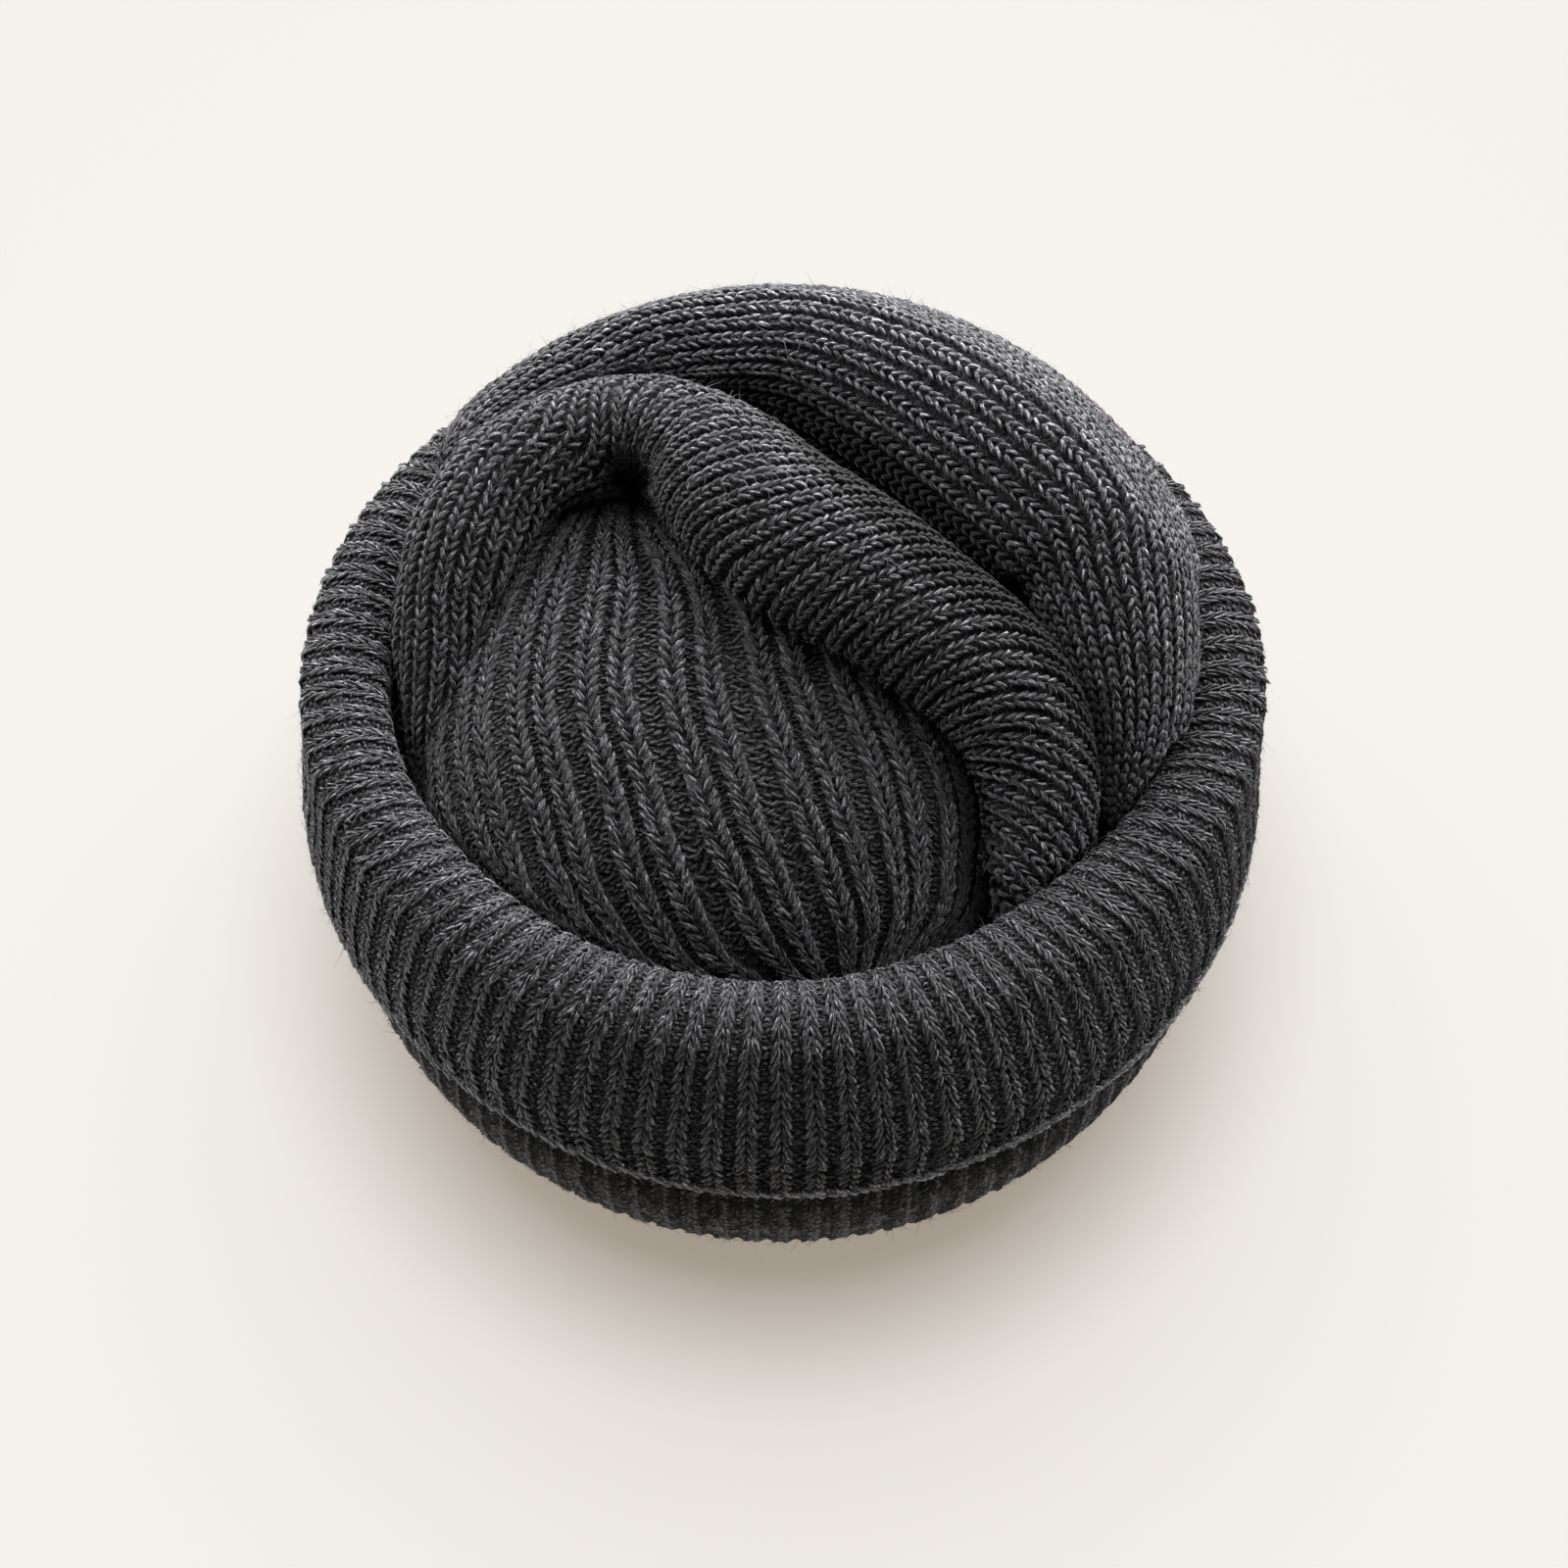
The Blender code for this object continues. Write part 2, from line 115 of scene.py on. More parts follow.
Section = namedtuple("Section", "x y z half up down lean", defaults=(0.0,))
MIDDLE = [Section(*row) for row in [
    (-36.8, -4.6, 10.5, 1.0, 1.0, 1.0),
    (-36.5, -2.6, 11.8, 2.6, 2.6, 2.6),
    (-35.7, -0.2, 13.6, 4.4, 4.6, 4.6),
    (-34.4, 3.6, 16.5, 5.5, 5.7, 6.0),
    (-33.3, 8.2, 19.5, 5.9, 6.2, 7.0),
    (-31.7, 12.7, 22.3, 6.4, 6.7, 8.0),
    (-28.6, 17.7, 24.6, 6.2, 6.4, 8.0),
    (-24.0, 20.7, 26.4, 5.9, 6.0, 8.0),
    (-18.8, 22.2, 27.8, 5.9, 5.9, 8.0),
    (-14.1, 22.4, 28.8, 5.6, 6.0, 8.0, 0.2),
    (-9.4, 19.9, 29.5, 6.4, 6.5, 8.0, 1.4),
    (-5.3, 15.7, 29.8, 7.7, 7.6, 8.5, 3.2),
    (0.3, 9.6, 29.5, 8.5, 8.5, 9.0, 4.8),
    (7.4, 5.0, 28.5, 8.4, 8.4, 9.0, 4.8),
    (13.8, 1.1, 27.0, 7.6, 7.6, 8.5, 4.5),
    (19.7, -3.2, 25.0, 7.2, 7.2, 8.0, 3.8),
    (23.4, -7.3, 22.5, 6.8, 6.8, 7.0, 3.2),
    (25.1, -11.9, 19.5, 6.3, 6.3, 6.5, 3.0),
    (25.4, -15.8, 16.5, 6.1, 6.1, 6.1, 3.0),
    (23.9, -20.6, 13.0, 6.2, 6.0, 5.6, 2.0),
    (20.8, -25.0, 10.0, 2.5, 2.0, 2.0),
]]
OUTER = [Section(*row) for row in [
    (-35.0, 23.6, 20.6, 1.0, 1.0, 1.0),
    (-32.6, 25.4, 21.2, 3.0, 3.0, 2.5),
    (-28.6, 27.8, 22.0, 4.6, 4.4, 5.0),
    (-24.2, 29.3, 22.8, 5.8, 5.7, 8.0),
    (-19.7, 30.6, 24.0, 6.7, 6.7, 10.0),
    (-13.1, 33.3, 26.0, 7.2, 7.2, 12.0),
    (-3.8, 33.9, 27.0, 7.6, 7.6, 14.0),
    (4.3, 32.3, 28.0, 8.8, 8.6, 16.0),
    (13.6, 27.6, 28.0, 10.4, 9.9, 18.0),
    (20.8, 22.6, 27.5, 11.3, 10.5, 18.0),
    (27.0, 17.1, 26.5, 11.2, 10.5, 17.0),
    (31.8, 11.8, 25.0, 10.2, 10.2, 16.0),
    (33.8, 5.8, 23.0, 8.3, 8.7, 14.0),
    (35.2, -0.6, 20.0, 6.8, 7.4, 11.0),
    (35.8, -6.7, 16.4, 5.2, 5.6, 6.0),
    (35.2, -11.4, 13.6, 3.4, 3.8, 3.4),
    (34.0, -14.6, 11.6, 1.2, 1.2, 1.2),
]]

Ribs = namedtuple("Ribs", "low high count")
CORE_RIBS = Ribs(-18.0, 198.0, 24)
CORE_RINGS = 14
OUTER_RIBS = Ribs(-45.0, 195.0, 16)
OUTER_RINGS = 30
MIDDLE_RIBS = Ribs(-30.0, 210.0, 10)
MIDDLE_TURN = 46.0
MIDDLE_STEP = 3.2
MIDDLE_PITCH = 2.4
UNDER_POINTS = 6

FINE = 400  # places at which a table's length is measured
TANGENT_STEP = 0.05
CHAIN = 80  # places of a roll, and of the rim, at which a neighbour is pressed aside
RIM_CHAIN = 180
PRESSES = 4
SETTLES = 10
SETTLED_MOVE = 0.1

# ------------------------ the knit
COURSE = 1.12  # from one stitch to the next along a rib
jitter = np.random.default_rng(20)

# A knit stitch is a leg and its mirror, which open from its start. across is a share of the rib's
# width, ahead a share of COURSE, out is in millimetres and thick a share of the yarn's radius.
Leg = namedtuple("Leg", "across ahead out thick")
CORE_LEG = [
    Leg(0.03, -0.3, -0.34, 0),
    Leg(0.11, 0.25, 0.06, 0.95),
    Leg(0.23, 1.0, 0, 1.0),
    Leg(0.31, 1.6, -0.46, 0),
]
ROLL_LEG = [
    Leg(0.02, -0.28, -0.3, 0),
    Leg(0.095, 0.03, 0.06, 0.9),
    Leg(0.19, 0.42, 0.1, 1.0),
    Leg(0.285, 0.8, -0.04, 0.85),
    Leg(0.36, 1.12, -0.42, 0),
]
CUFF_LEG = [
    Leg(0.055, -0.45, -0.18, 0),
    Leg(0.115, 0.15, 0.04, 0.95),
    Leg(0.215, 0.9, -0.08, 1.0),
    Leg(0.3, 1.45, -0.48, 0),
]
BUNDLE_LEG = [
    Leg(0.03, -0.35, -0.34, 0),
    Leg(0.12, 0.15, -0.06, 0.95),
    Leg(0.24, 0.9, -0.08, 1.0),
    Leg(0.33, 1.5, -0.46, 0),
]
# A purl stitch shows as beads that lie across a gutter. A bead's across is a share of its size.
BEAD = [
    Leg(-1.0, 0.15, -0.22, 0),
    Leg(-0.4, -0.06, 0, 0.9),
    Leg(0.4, -0.06, 0, 0.9),
    Leg(1.0, 0.15, -0.22, 0),
]
HEM_LOOP = [
    Leg(-0.3, -0.3, -0.25, 0),
    Leg(-0.1, 0.2, 0.1, 0.9),
    Leg(0.12, 0.95, 0.12, 1.0),
    Leg(0.26, 1.5, -0.2, 0),
]

# One short yarn of a stitch: mirror is -1 for the second leg, ply -1 or 1 for one of two plies and
# 0 for a single yarn, thick a share of the yarn's radius, and wobble in radians.
Part = namedtuple("Part", "rows sides mirror ply thick wobble")
PLIES = [(mirror, ply) for mirror in (1, -1) for ply in (1, -1)]
CORE_KNIT = [Part(CORE_LEG, 4, mirror, ply, 0.72, 0.09) for mirror, ply in PLIES]
ROLL_KNIT = [Part(ROLL_LEG, 4, mirror, 0, 1.08, 0.08) for mirror in (1, -1)]
CUFF_KNIT = [Part(CUFF_LEG, 3, mirror, ply, 0.70, 0.09) for mirror, ply in PLIES]
BUNDLE_KNIT = [Part(BUNDLE_LEG, 3, mirror, 0, 1.15, 0.12) for mirror in (1, -1)]


def beads(places, size, depth, thick, wobble=0.5):
    """Short yarns in a gutter at (share of its width, share of COURSE) places."""
    return [
        Part(
            [Leg(side + size * r.across, ahead + r.ahead, depth + r.out, r.thick) for r in BEAD],
            3, 1, 0, thick, wobble,
        )
        for side, ahead in places
    ]


CORE_BEADS = [(-0.17, 0), (0, 0.2), (0.17, 0.05), (-0.09, 0.55), (0.10, 0.6)]
CORE_PURL = beads(CORE_BEADS, 0.10, -0.62, 0.68)
ROLL_PURL = beads([(0, 0)], 0.14, -0.78, 0.7)
CUFF_PURL = beads([(-0.09, 0), (0.09, 0.2), (0, 0.6)], 0.10, -0.16, 0.80)

PLY = 0.19  # half the distance between a leg's two plies, in millimetres
YARN_RADIUS = (0.15, 0.050)  # and how much more for each millimetre of the rib's width
YARN_WIDTHS = (1.8, 5.0)  # the widths between which it grows
YARN_SINK = 0.75  # a share of its radius
FLATNESS = 0.8  # a yarn's height over its width
TWIST = 1.1  # radians of ply twist for each millimetre of yarn
UNEVEN, UNEVEN_AHEAD, UNEVEN_RADIUS, UNEVEN_TONE = 0.04, 0.08, 0.12, 0.16
TONES = (0.6, 1.5)
YARN_ORIGINS = 60  # how far apart in the noise the yarns are cut

FUZZ_HALF_WIDTH = (0.012, 0.028)
FUZZ_LENGTH = (0.4, 2.0)
FUZZ_TAPER = 0.7
FUZZ_LIFT = (2, 50)  # degrees off the cloth, and how many more at most


# ------------------------ the frame's forms
def curved(four, share):
    """A Catmull-Rom curve, at a share of the way from the second of four values to the third."""
    a, b, c, d = four
    return (
        b
        + 0.5 * share * (c - a)
        + share**2 * (a - 2.5 * b + 2.0 * c - 0.5 * d)
        + share**3 * (1.5 * (b - c) + 0.5 * (d - a))
    )


def table_at(rows, at, period=None):
    values = np.array(rows, float)
    count = len(values)
    at = np.asarray(at, float)
    low = np.floor(at).astype(int)
    if period is None:
        low = np.clip(low, 0, count - 2)
    share = (at - low)[:, None]
    picks = []
    for step in (-1, 0, 1, 2):
        index = low + step
        if period is None:
            picks.append(values[np.clip(index, 0, count - 1)])
        else:
            row = values[index % count].copy()
            row[:, 0] += index // count * period
            picks.append(row)
    return curved(picks, share)


def rim_at(azimuth):
    spacing = RIM[1].azimuth - RIM[0].azimuth
    return table_at(RIM, (np.asarray(azimuth) - RIM[0].azimuth) / spacing, period=360)


Roll = namedtuple("Roll", "centre along side top half up down")
UP = np.array([0.0, 0.0, 1.0])


def level(azimuth):
    """Level directions at azimuths."""
    turn = np.radians(azimuth)
    return np.stack([np.cos(turn), np.sin(turn), 0 * turn], axis=-1)


def unit(vectors):
    return vectors / np.maximum(np.linalg.norm(vectors, axis=-1, keepdims=True), 1e-9)


def length_of(table):
    fine = np.linspace(0, len(table) - 1, FINE)
    step = np.diff(table_at(table, fine)[:, :3], axis=0)
    return fine, np.concatenate([[0], np.cumsum(np.linalg.norm(step, axis=1))])


def roll_at(table, at=None):
    fine, length = length_of(table)
    if at is None:
        at = np.linspace(0, length[-1], CHAIN)
    where = np.interp(at, length, fine)
    rows = table_at(table, where)
    if isinstance(table[0], Slice):
        side = level(rows[:, 6])
        top = np.tile(UP, (len(rows), 1))
        along = np.cross(top, side)
    else:
        step = table_at(table, where + TANGENT_STEP) - table_at(table, where - TANGENT_STEP)
        along = unit(step[:, :3])
        side = unit(np.stack([-along[:, 1], along[:, 0], 0 * where], axis=1))
        top = np.cross(along, side)
    return Roll(rows[:, :3], along, side, top, rows[:, 3], rows[:, 4], rows[:, 5])


def rim_roll():
    azimuth = np.linspace(-180, 180, RIM_CHAIN, endpoint=False)
    rim = rim_at(azimuth)
    side, top = level(azimuth), np.tile(UP, (RIM_CHAIN, 1))
    centre = side * rim[:, 1:2] + top * rim[:, 2:3]
    return Roll(centre, np.cross(top, side), side, top, rim[:, 3], rim[:, 3], rim[:, 3])


def clear_of(points, roll):
    moved = points.copy()
    reach = np.minimum(roll.half, roll.up) + PRESS_GAP
    for _ in range(PRESSES):
        away = moved[:, None] - roll.centre[None]
        across = np.einsum("pck,ck->pc", away, roll.side) / (roll.half + PRESS_GAP)
        rise = np.einsum("pck,ck->pc", away, roll.top)
        rise /= np.where(rise > 0, roll.up, roll.down) + PRESS_GAP
        forward = np.einsum("pck,ck->pc", away, roll.along) / reach
        size = across**2 + rise**2 + forward**2
        nearest = size.argmin(axis=1)
        depth = np.sqrt(size[np.arange(len(moved)), nearest])
        inside = depth < 1
        if not inside.any():
            break
        centre = roll.centre[nearest[inside]]
        moved[inside] = centre + (moved[inside] - centre) / depth[inside, None]
    return moved


def in_ball(points):
    size = np.linalg.norm(points, axis=-1)
    points = points * np.minimum(1, BALL_RADIUS / size)[..., None]
    azimuth = np.degrees(np.arctan2(points[..., 1], points[..., 0])).ravel()
    rim = rim_at(azimuth).reshape(*points.shape[:-1], len(Rim._fields))
    mouth = rim[..., 1] - rim[..., 3] - PRESS_GAP
    mouth = np.where(points[..., 2] < rim[..., 2], mouth, BALL_RADIUS)
    radius = np.linalg.norm(points[..., :2], axis=-1)
    points[..., :2] *= np.minimum(1, mouth / np.maximum(radius, 1))[..., None]
    points[..., 2] = np.maximum(points[..., 2], BUNDLE_TOP + GAP)
    return points


def ring_angles(ribs):
    top = np.linspace(ribs.low, ribs.high, 2 * ribs.count + 1)
    under = np.linspace(ribs.high, ribs.low + 360, UNDER_POINTS + 2)[1:-1]
    return np.concatenate([top, under])


def rings(table, at, angles):
    fine, length = length_of(table)
    lean = np.zeros(len(at))
    if isinstance(table[0], Section):
        lean = table_at(table, np.interp(at, length, fine))[:, 6]
    cosine, sine = np.cos(np.radians(angles)), np.sin(np.radians(angles))
    found = []
    for start, ahead in zip(at, lean):
        roll = roll_at(table, np.clip(start + ahead * cosine, 0, length[-1]))
        tall = np.where(sine > 0, roll.up, roll.down)
        found.append(
            roll.centre
            + roll.side * (roll.half * cosine)[:, None]
            + roll.top * (tall * sine)[:, None]
        )
    return np.array(found)


def settled(grid, neighbours):
    start = grid
    for turn in range(SETTLES):
        points = grid.reshape(-1, 3)
        for neighbour in neighbours:
            points = clear_of(points, neighbour)
        grid = in_ball(points).reshape(start.shape)
        if turn < SETTLES - 1:
            moved = np.linalg.norm(grid - start, axis=2) > SETTLED_MOVE
            moved[0] = moved[-1] = False
            around = (np.roll(grid, 1, axis=1) + np.roll(grid, -1, axis=1)) / 2
            forward = (np.roll(grid, 1, axis=0) + np.roll(grid, -1, axis=0)) / 2
            grid = np.where(moved[..., None], (2 * grid + around + forward) / 4, grid)
    return grid


def cuff_profile(rim):
    _, radius, height, tube, hem = rim
    low = math.asin(hem / BALL_RADIUS)
    band = [
        (BALL_RADIUS * math.cos(a), BALL_RADIUS * math.sin(a))
        for a in np.linspace(low, math.radians(BAND_TOP_ANGLE), BAND_ROWS)
    ]
    turn = [(radius + tube * math.cos(a), height + tube * math.sin(a)) for a in np.radians(RIM_ANGLES)]
    lip = [(radius - tube + LIP_SLOPE, BUNDLE_TOP + GAP)]
    return np.array(band + turn + lip)


def turned(profile, azimuth):
    return profile[:, :1] * level(azimuth) + profile[:, 1:] * UP


# ------------------------ smooth surfaces
# A surface's points and outward normals on a fine grid. Places on it are (row, column) of the
# frame's own rings, where an even column of a ribbed stretch is the middle of a rib.
Surface = namedtuple("Surface", "points normals per_row per_column rows columns")


def finer(grid, per, wrap):
    """A grid with per steps for each of its rows, on smooth curves through them."""
    count = len(grid)
    at = np.arange(count * per) / per if wrap else np.linspace(0, count - 1, (count - 1) * per + 1)
    low = np.floor(at).astype(int)
    if not wrap:
        low = np.clip(low, 0, count - 2)
    share = (at - low)[:, None, None]
    fix = (lambda i: i % count) if wrap else (lambda i: np.clip(i, 0, count - 1))
    return curved([grid[fix(low + step)] for step in (-1, 0, 1, 2)], share)


def surface(grid, per_row, per_column):
    """The smooth surface of a grid of rings, sunk into the pits."""
    rows, columns = grid.shape[:2]
    points = finer(grid, per_row, False)
    points = pitted(finer(points.transpose(1, 0, 2), per_column, True).transpose(1, 0, 2))
    forward = np.gradient(points, axis=0)
    around = (np.roll(points, -1, axis=1) - np.roll(points, 1, axis=1)) / 2
    normal = unit(np.cross(around, forward))
    away = points - points.mean(axis=1, keepdims=True)
    normal *= np.sign((normal * away).sum())
    return Surface(points, normal, per_row, per_column, rows, columns)


def on(form, values, row, column):
    """values, a grid like form's points, at places on the form."""
    r = np.clip(np.asarray(row) * form.per_row, 0, values.shape[0] - 1.001)
    c = np.asarray(column) * form.per_column % values.shape[1]
    i, j = np.floor(r).astype(int), np.floor(c).astype(int) % values.shape[1]
    k = (j + 1) % values.shape[1]
    u, v = (r - i)[..., None], (c - np.floor(c))[..., None]
    return (values[i, j] * (1 - v) + values[i, k] * v) * (1 - u) + (
        values[i + 1, j] * (1 - v) + values[i + 1, k] * v
    ) * u


def eased(value, zero, one):
    """From 0 at zero to 1 at one, eased at both."""
    share = np.clip((value - zero) / (one - zero), 0, 1)
    return share * share * (3 - 2 * share)


def wave(phase):
    """0 at whole numbers and 1 half way between them."""
    return 0.5 - 0.5 * np.cos(2 * math.pi * phase)


# The pinch between the core and the bend of the middle roll: a pit along a slanting line.
Pit = namedtuple("Pit", "x y z radius depth")
PITS = [Pit(-15.0, 17.6, 27.0, 1.8, 9.0), Pit(-15.4, 18.2, 27.0, 4.4, 1.4)]
PIT_LINE = np.array([0.0, 0.5, -0.866])
PIT_FLOOR, PIT_LEVEL = -10.0, -2.0  # the heights between which the pits fade in


def pitted(points):
    """The points sunk along the pits' line, by the same amount all along it above PIT_LEVEL."""
    sunk = 0
    for pit in PITS:
        away = points - np.array([pit.x, pit.y, pit.z])
        off = away - (away @ PIT_LINE)[..., None] * PIT_LINE
        sunk = sunk + pit.depth * np.exp(-((off**2).sum(axis=-1)) / pit.radius**2)
    sunk = sunk * eased(points[..., 2], PIT_FLOOR, PIT_LEVEL)
    return points + sunk[..., None] * PIT_LINE


def evenly(table, count):
    return np.linspace(0, length_of(table)[1][-1], count)


def middle_lengths():
    last = length_of(MIDDLE)[1][-1]
    coarse = np.arange(0, MIDDLE_TURN, MIDDLE_STEP)
    close = np.arange(MIDDLE_TURN, last - MIDDLE_PITCH, MIDDLE_PITCH / 2)
    return np.concatenate([coarse, close, [last]])


MIDDLE_LENGTHS = middle_lengths()
ARM_DRAW = np.array([1.3, -5.0, -3.0])
ARM_BACK, ARM_FRONT = 6.0, -4.6  # the y between which the arm is drawn down
ARM_RIGHT = -25.0  # and its highest x


def drawn_down(grid):
    """The middle roll with the end of its arm drawn down between the core and the cuff."""
    share = eased(grid[..., 1], ARM_BACK, ARM_FRONT) * (grid[..., 0] < ARM_RIGHT)
    return grid + share[..., None] * ARM_DRAW


def settled_rings(table, at, ribs, neighbours):
    """A roll's rings at lengths along it, settled against the rim and its neighbours."""
    grid = in_ball(rings(table, at, ring_angles(ribs)))
    return settled(grid, [roll_at(neighbour) for neighbour in neighbours] + [rim_roll()])


FRONT_COLUMN = 0.5 * CUFF_RIBS
CUFF_LAG = 0.45  # ribs by which a rib stands off its own azimuth between the hem and the crest
CREST_ROW = 6.3
HEM_LIFT = 0.75  # rows


def cuff_ribs(row, column):
    """The cuff's ribs stand upright below the crest and turn over it late."""
    row, column = np.asarray(row, float), np.asarray(column, float)
    rise = np.sin(math.pi * np.clip(row / CREST_ROW, 0, 1)) ** 2
    azimuth = math.pi * (column - FRONT_COLUMN) / CUFF_RIBS
    return column / 2 - CUFF_LAG * rise * np.sin(2 * azimuth)


def hem_row(column):
    """The row of the cuff's lower edge, which is turned up a little at the front."""
    azimuth = 2 * math.pi * (np.asarray(column) / CUFF_COLUMNS) - math.pi
    return HEM_LIFT * np.clip(0.5 - 0.5 * np.sin(azimuth), 0, 1)


def turned_surface(profile_at, per_row):
    """Profiles turned round the ball, one at each rib of the cuff and one at each gutter."""
    azimuths = -180 + 360 * np.arange(CUFF_COLUMNS) / CUFF_COLUMNS
    around = np.array([turned(profile_at(a), a) for a in azimuths])
    return surface(around.transpose(1, 0, 2), per_row, per_column=2)


# ------------------------ ribs
# A ribs function counts a form's ribs at places: whole on a rib and half in a gutter. Where the
# count grows with the column, stitches open towards earlier rows.
def straight(row, column):
    return np.asarray(column) / 2


def starts(row, columns):
    """Places in one row, from which ribs are traced."""
    return np.full(len(columns), row), columns


CORE_COLUMNS = 2 * CORE_RIBS.count
CROWN_ROW = 7.5
CROWN_SAMPLES = 2000
CROWN_MARGIN = 0.2
FAN_IN = 0.09  # ribs a rib drifts for each row squared, from the crown up to the pinch
SLIP = 0.13  # and from the crown down, on the left where ribs run off the core's side
SLIP_FROM, SLIP_OVER = 10.0, 5.0
SLIP_PASSES = 4
FIRST_RIB = 0.6
PAIRS = 0.085  # how much nearer its pair a rib sits, in ribs
WAVER = 0.05  # ribs


def core_ribs(row, column):
    """The core's ribs fan from the pinch, cross the crown and slip off its left side, in pairs."""
    row, column = np.asarray(row, float), np.asarray(column, float)
    place = column / 2 + FAN_IN * np.maximum(CROWN_ROW - row, 0) ** 2
    slip = SLIP * np.maximum(row - CROWN_ROW, 0) ** 2
    rib = place
    for _ in range(SLIP_PASSES):
        rib = place - slip * np.clip((rib - SLIP_FROM) / SLIP_OVER, 0, 1)
    rib = rib - FIRST_RIB + WAVER * np.sin(0.9 * row + 0.8 * place)
    return rib + PAIRS * np.cos(math.pi * rib)


def core_starts(half):
    """Where ribs cross the crown's row, or gutters when half is 0.5."""
    columns = np.linspace(CROWN_MARGIN, CORE_COLUMNS - CROWN_MARGIN, CROWN_SAMPLES)
    phase = core_ribs(np.full(CROWN_SAMPLES, CROWN_ROW), columns)
    wanted = np.arange(math.ceil(phase[0]), math.floor(phase[-1]) + 1) + half
    wanted = wanted[wanted < phase[-1]]
    return starts(CROWN_ROW, np.interp(wanted, phase, columns))


ROLL_SHARE = 1.2  # ribs of the knit for each rib of the frame on the outer and middle rolls
ROLL_START = 0.3  # the row from which their ribs are traced
CROSS_PITCH = 2.0


def outer_ribs(row, column):
    return -ROLL_SHARE * np.asarray(column) / 2


INNER_COLUMN = 2 * MIDDLE_RIBS.count
PINCH = 47.0  # length along the middle roll where its ribs begin to cross it
FAN = 6.0  # how far ahead of its ring a rib has drifted at the roll's outer side
FAN_COLUMN = 12.0
FAN_MOST = 1.2
SOFT_TURN = 0.9
INNER_SAMPLES = 4000


def middle_ribs(row, column):
    """Ribs that run along the middle roll up to the pinch, then cross it from its inner side."""
    column = np.asarray(column)
    length = np.interp(row, np.arange(len(MIDDLE_LENGTHS)), MIDDLE_LENGTHS)
    along = ROLL_SHARE * (INNER_COLUMN - column) / 2
    outward = np.clip((FAN_COLUMN - column) / FAN_COLUMN, 0, FAN_MOST)
    crossing = -(length - PINCH - FAN * outward**2) / CROSS_PITCH
    return -SOFT_TURN * np.logaddexp(-along / SOFT_TURN, -crossing / SOFT_TURN)


def middle_starts(half):
    """Starts of ribs, or of gutters when half is 0.5: along the arm, then down the inner side."""
    arm = np.arange(0, int(ROLL_SHARE * MIDDLE_RIBS.count)) + half
    rows = np.linspace(ROLL_START, len(MIDDLE_LENGTHS) - 1.2, INNER_SAMPLES)
    phase = middle_ribs(rows, np.full(INNER_SAMPLES, float(INNER_COLUMN)))
    first = phase.max()
    inner = np.arange(math.floor(first - 0.01), math.floor(phase.min()), -1) + half
    inner = inner[inner < first - 0.02]
    along = starts(ROLL_START, INNER_COLUMN - 2 * arm / ROLL_SHARE)
    crossing = np.interp(-inner, -phase, rows), np.full(len(inner), INNER_COLUMN)
    return np.hstack([along, crossing])


Strand = namedtuple("Strand", "place along out across width")
FIELD_STEP = 0.05  # rows or columns
STEPS_PER_COURSE = 6
MOST_STEPS = 3000


def field_at(form, ribs, row, column):
    """Directions at places: along a rib, out, a rib's width, and rows and columns passed each mm."""
    step = FIELD_STEP

    def slopes(at):
        ahead = at(row + step, column) - at(row - step, column)
        return ahead, at(row, column + step) - at(row, column - step)

    by_row, by_column = slopes(lambda r, c: on(form, form.points, r, c))
    rib_row, rib_column = slopes(ribs)
    along = -rib_column[:, None] * by_row + rib_row[:, None] * by_column
    size = np.maximum(np.linalg.norm(along, axis=1), 1e-9)
    width = np.linalg.norm(np.cross(by_row, by_column), axis=1) / size
    speed = np.stack([-rib_column, rib_row], axis=1) / size[:, None] * 2 * step
    return along / size[:, None], normals_at(form, row, column), width, speed


def normals_at(form, row, column):
    return unit(on(form, form.normals, row, column))


def traced(form, ribs, rows, columns, low, high):
    """Stitch places on ribs through (rows, columns), one each COURSE, while inside low..high."""
    count = len(rows)
    start = jitter.integers(0, STEPS_PER_COURSE, count)
    kept = []
    for way in (1, -1):
        row, column = np.array(rows, float), np.array(columns, float)
        alive = np.ones(count, bool)
        for turn in range(MOST_STEPS):
            _, _, _, speed = field_at(form, ribs, row, column)
            alive &= (row >= low[0]) & (row <= high[0])
            alive &= (column >= low[1]) & (column <= high[1])
            if not alive.any():
                break
            due = alive & ((way * turn + start) % STEPS_PER_COURSE == 0)
            if due.any() and (turn or way > 0):
                kept.append(np.stack([row[due], column[due]], axis=1))
            move = way * COURSE / STEPS_PER_COURSE * speed
            row = np.where(alive, row + move[:, 0], row)
            column = np.where(alive, column + move[:, 1], column)
    return np.concatenate(kept)


def strands(form, ribs, places):
    row, column = places.T
    along, out, width, _ = field_at(form, ribs, row, column)
    return Strand(on(form, form.points, row, column), along, out, np.cross(along, out), width)


# ------------------------ painted light and shade
# Lines through (row, column) points where a form dips or goes slack, and of (row, painted light).
CORE_DIP = [
    (4, 8.5), (5.5, 10.3), (7.2, 11.9), (8.5, 12.3),
    (9.8, 12.2), (10.8, 11.6), (11.5, 12.0), (12.5, 13.0),
]
CORE_SLACK = [(4, 31.0), (8.5, 32.0), (10.5, 36.0)]
OUTER_DIP = [(0, 26.5), (8, 26.0), (11, 26.7), (15, 27.2), (19, 28.4), (22, 30.3), (28, 33.0)]
MIDDLE_FLANK = [
    (16, 4.0), (22, 6.6), (25, 7.2), (30, 8.4), (35, 9.2),
    (40, 9.8), (45, 10.1), (50, 9.4), (56, 7.5), (60, 4.0),
]
MIDDLE_DIP = [(56, 19.5), (60, 16.8), (63.5, 15.0), (67.5, 12.4), (71, 11.2)]
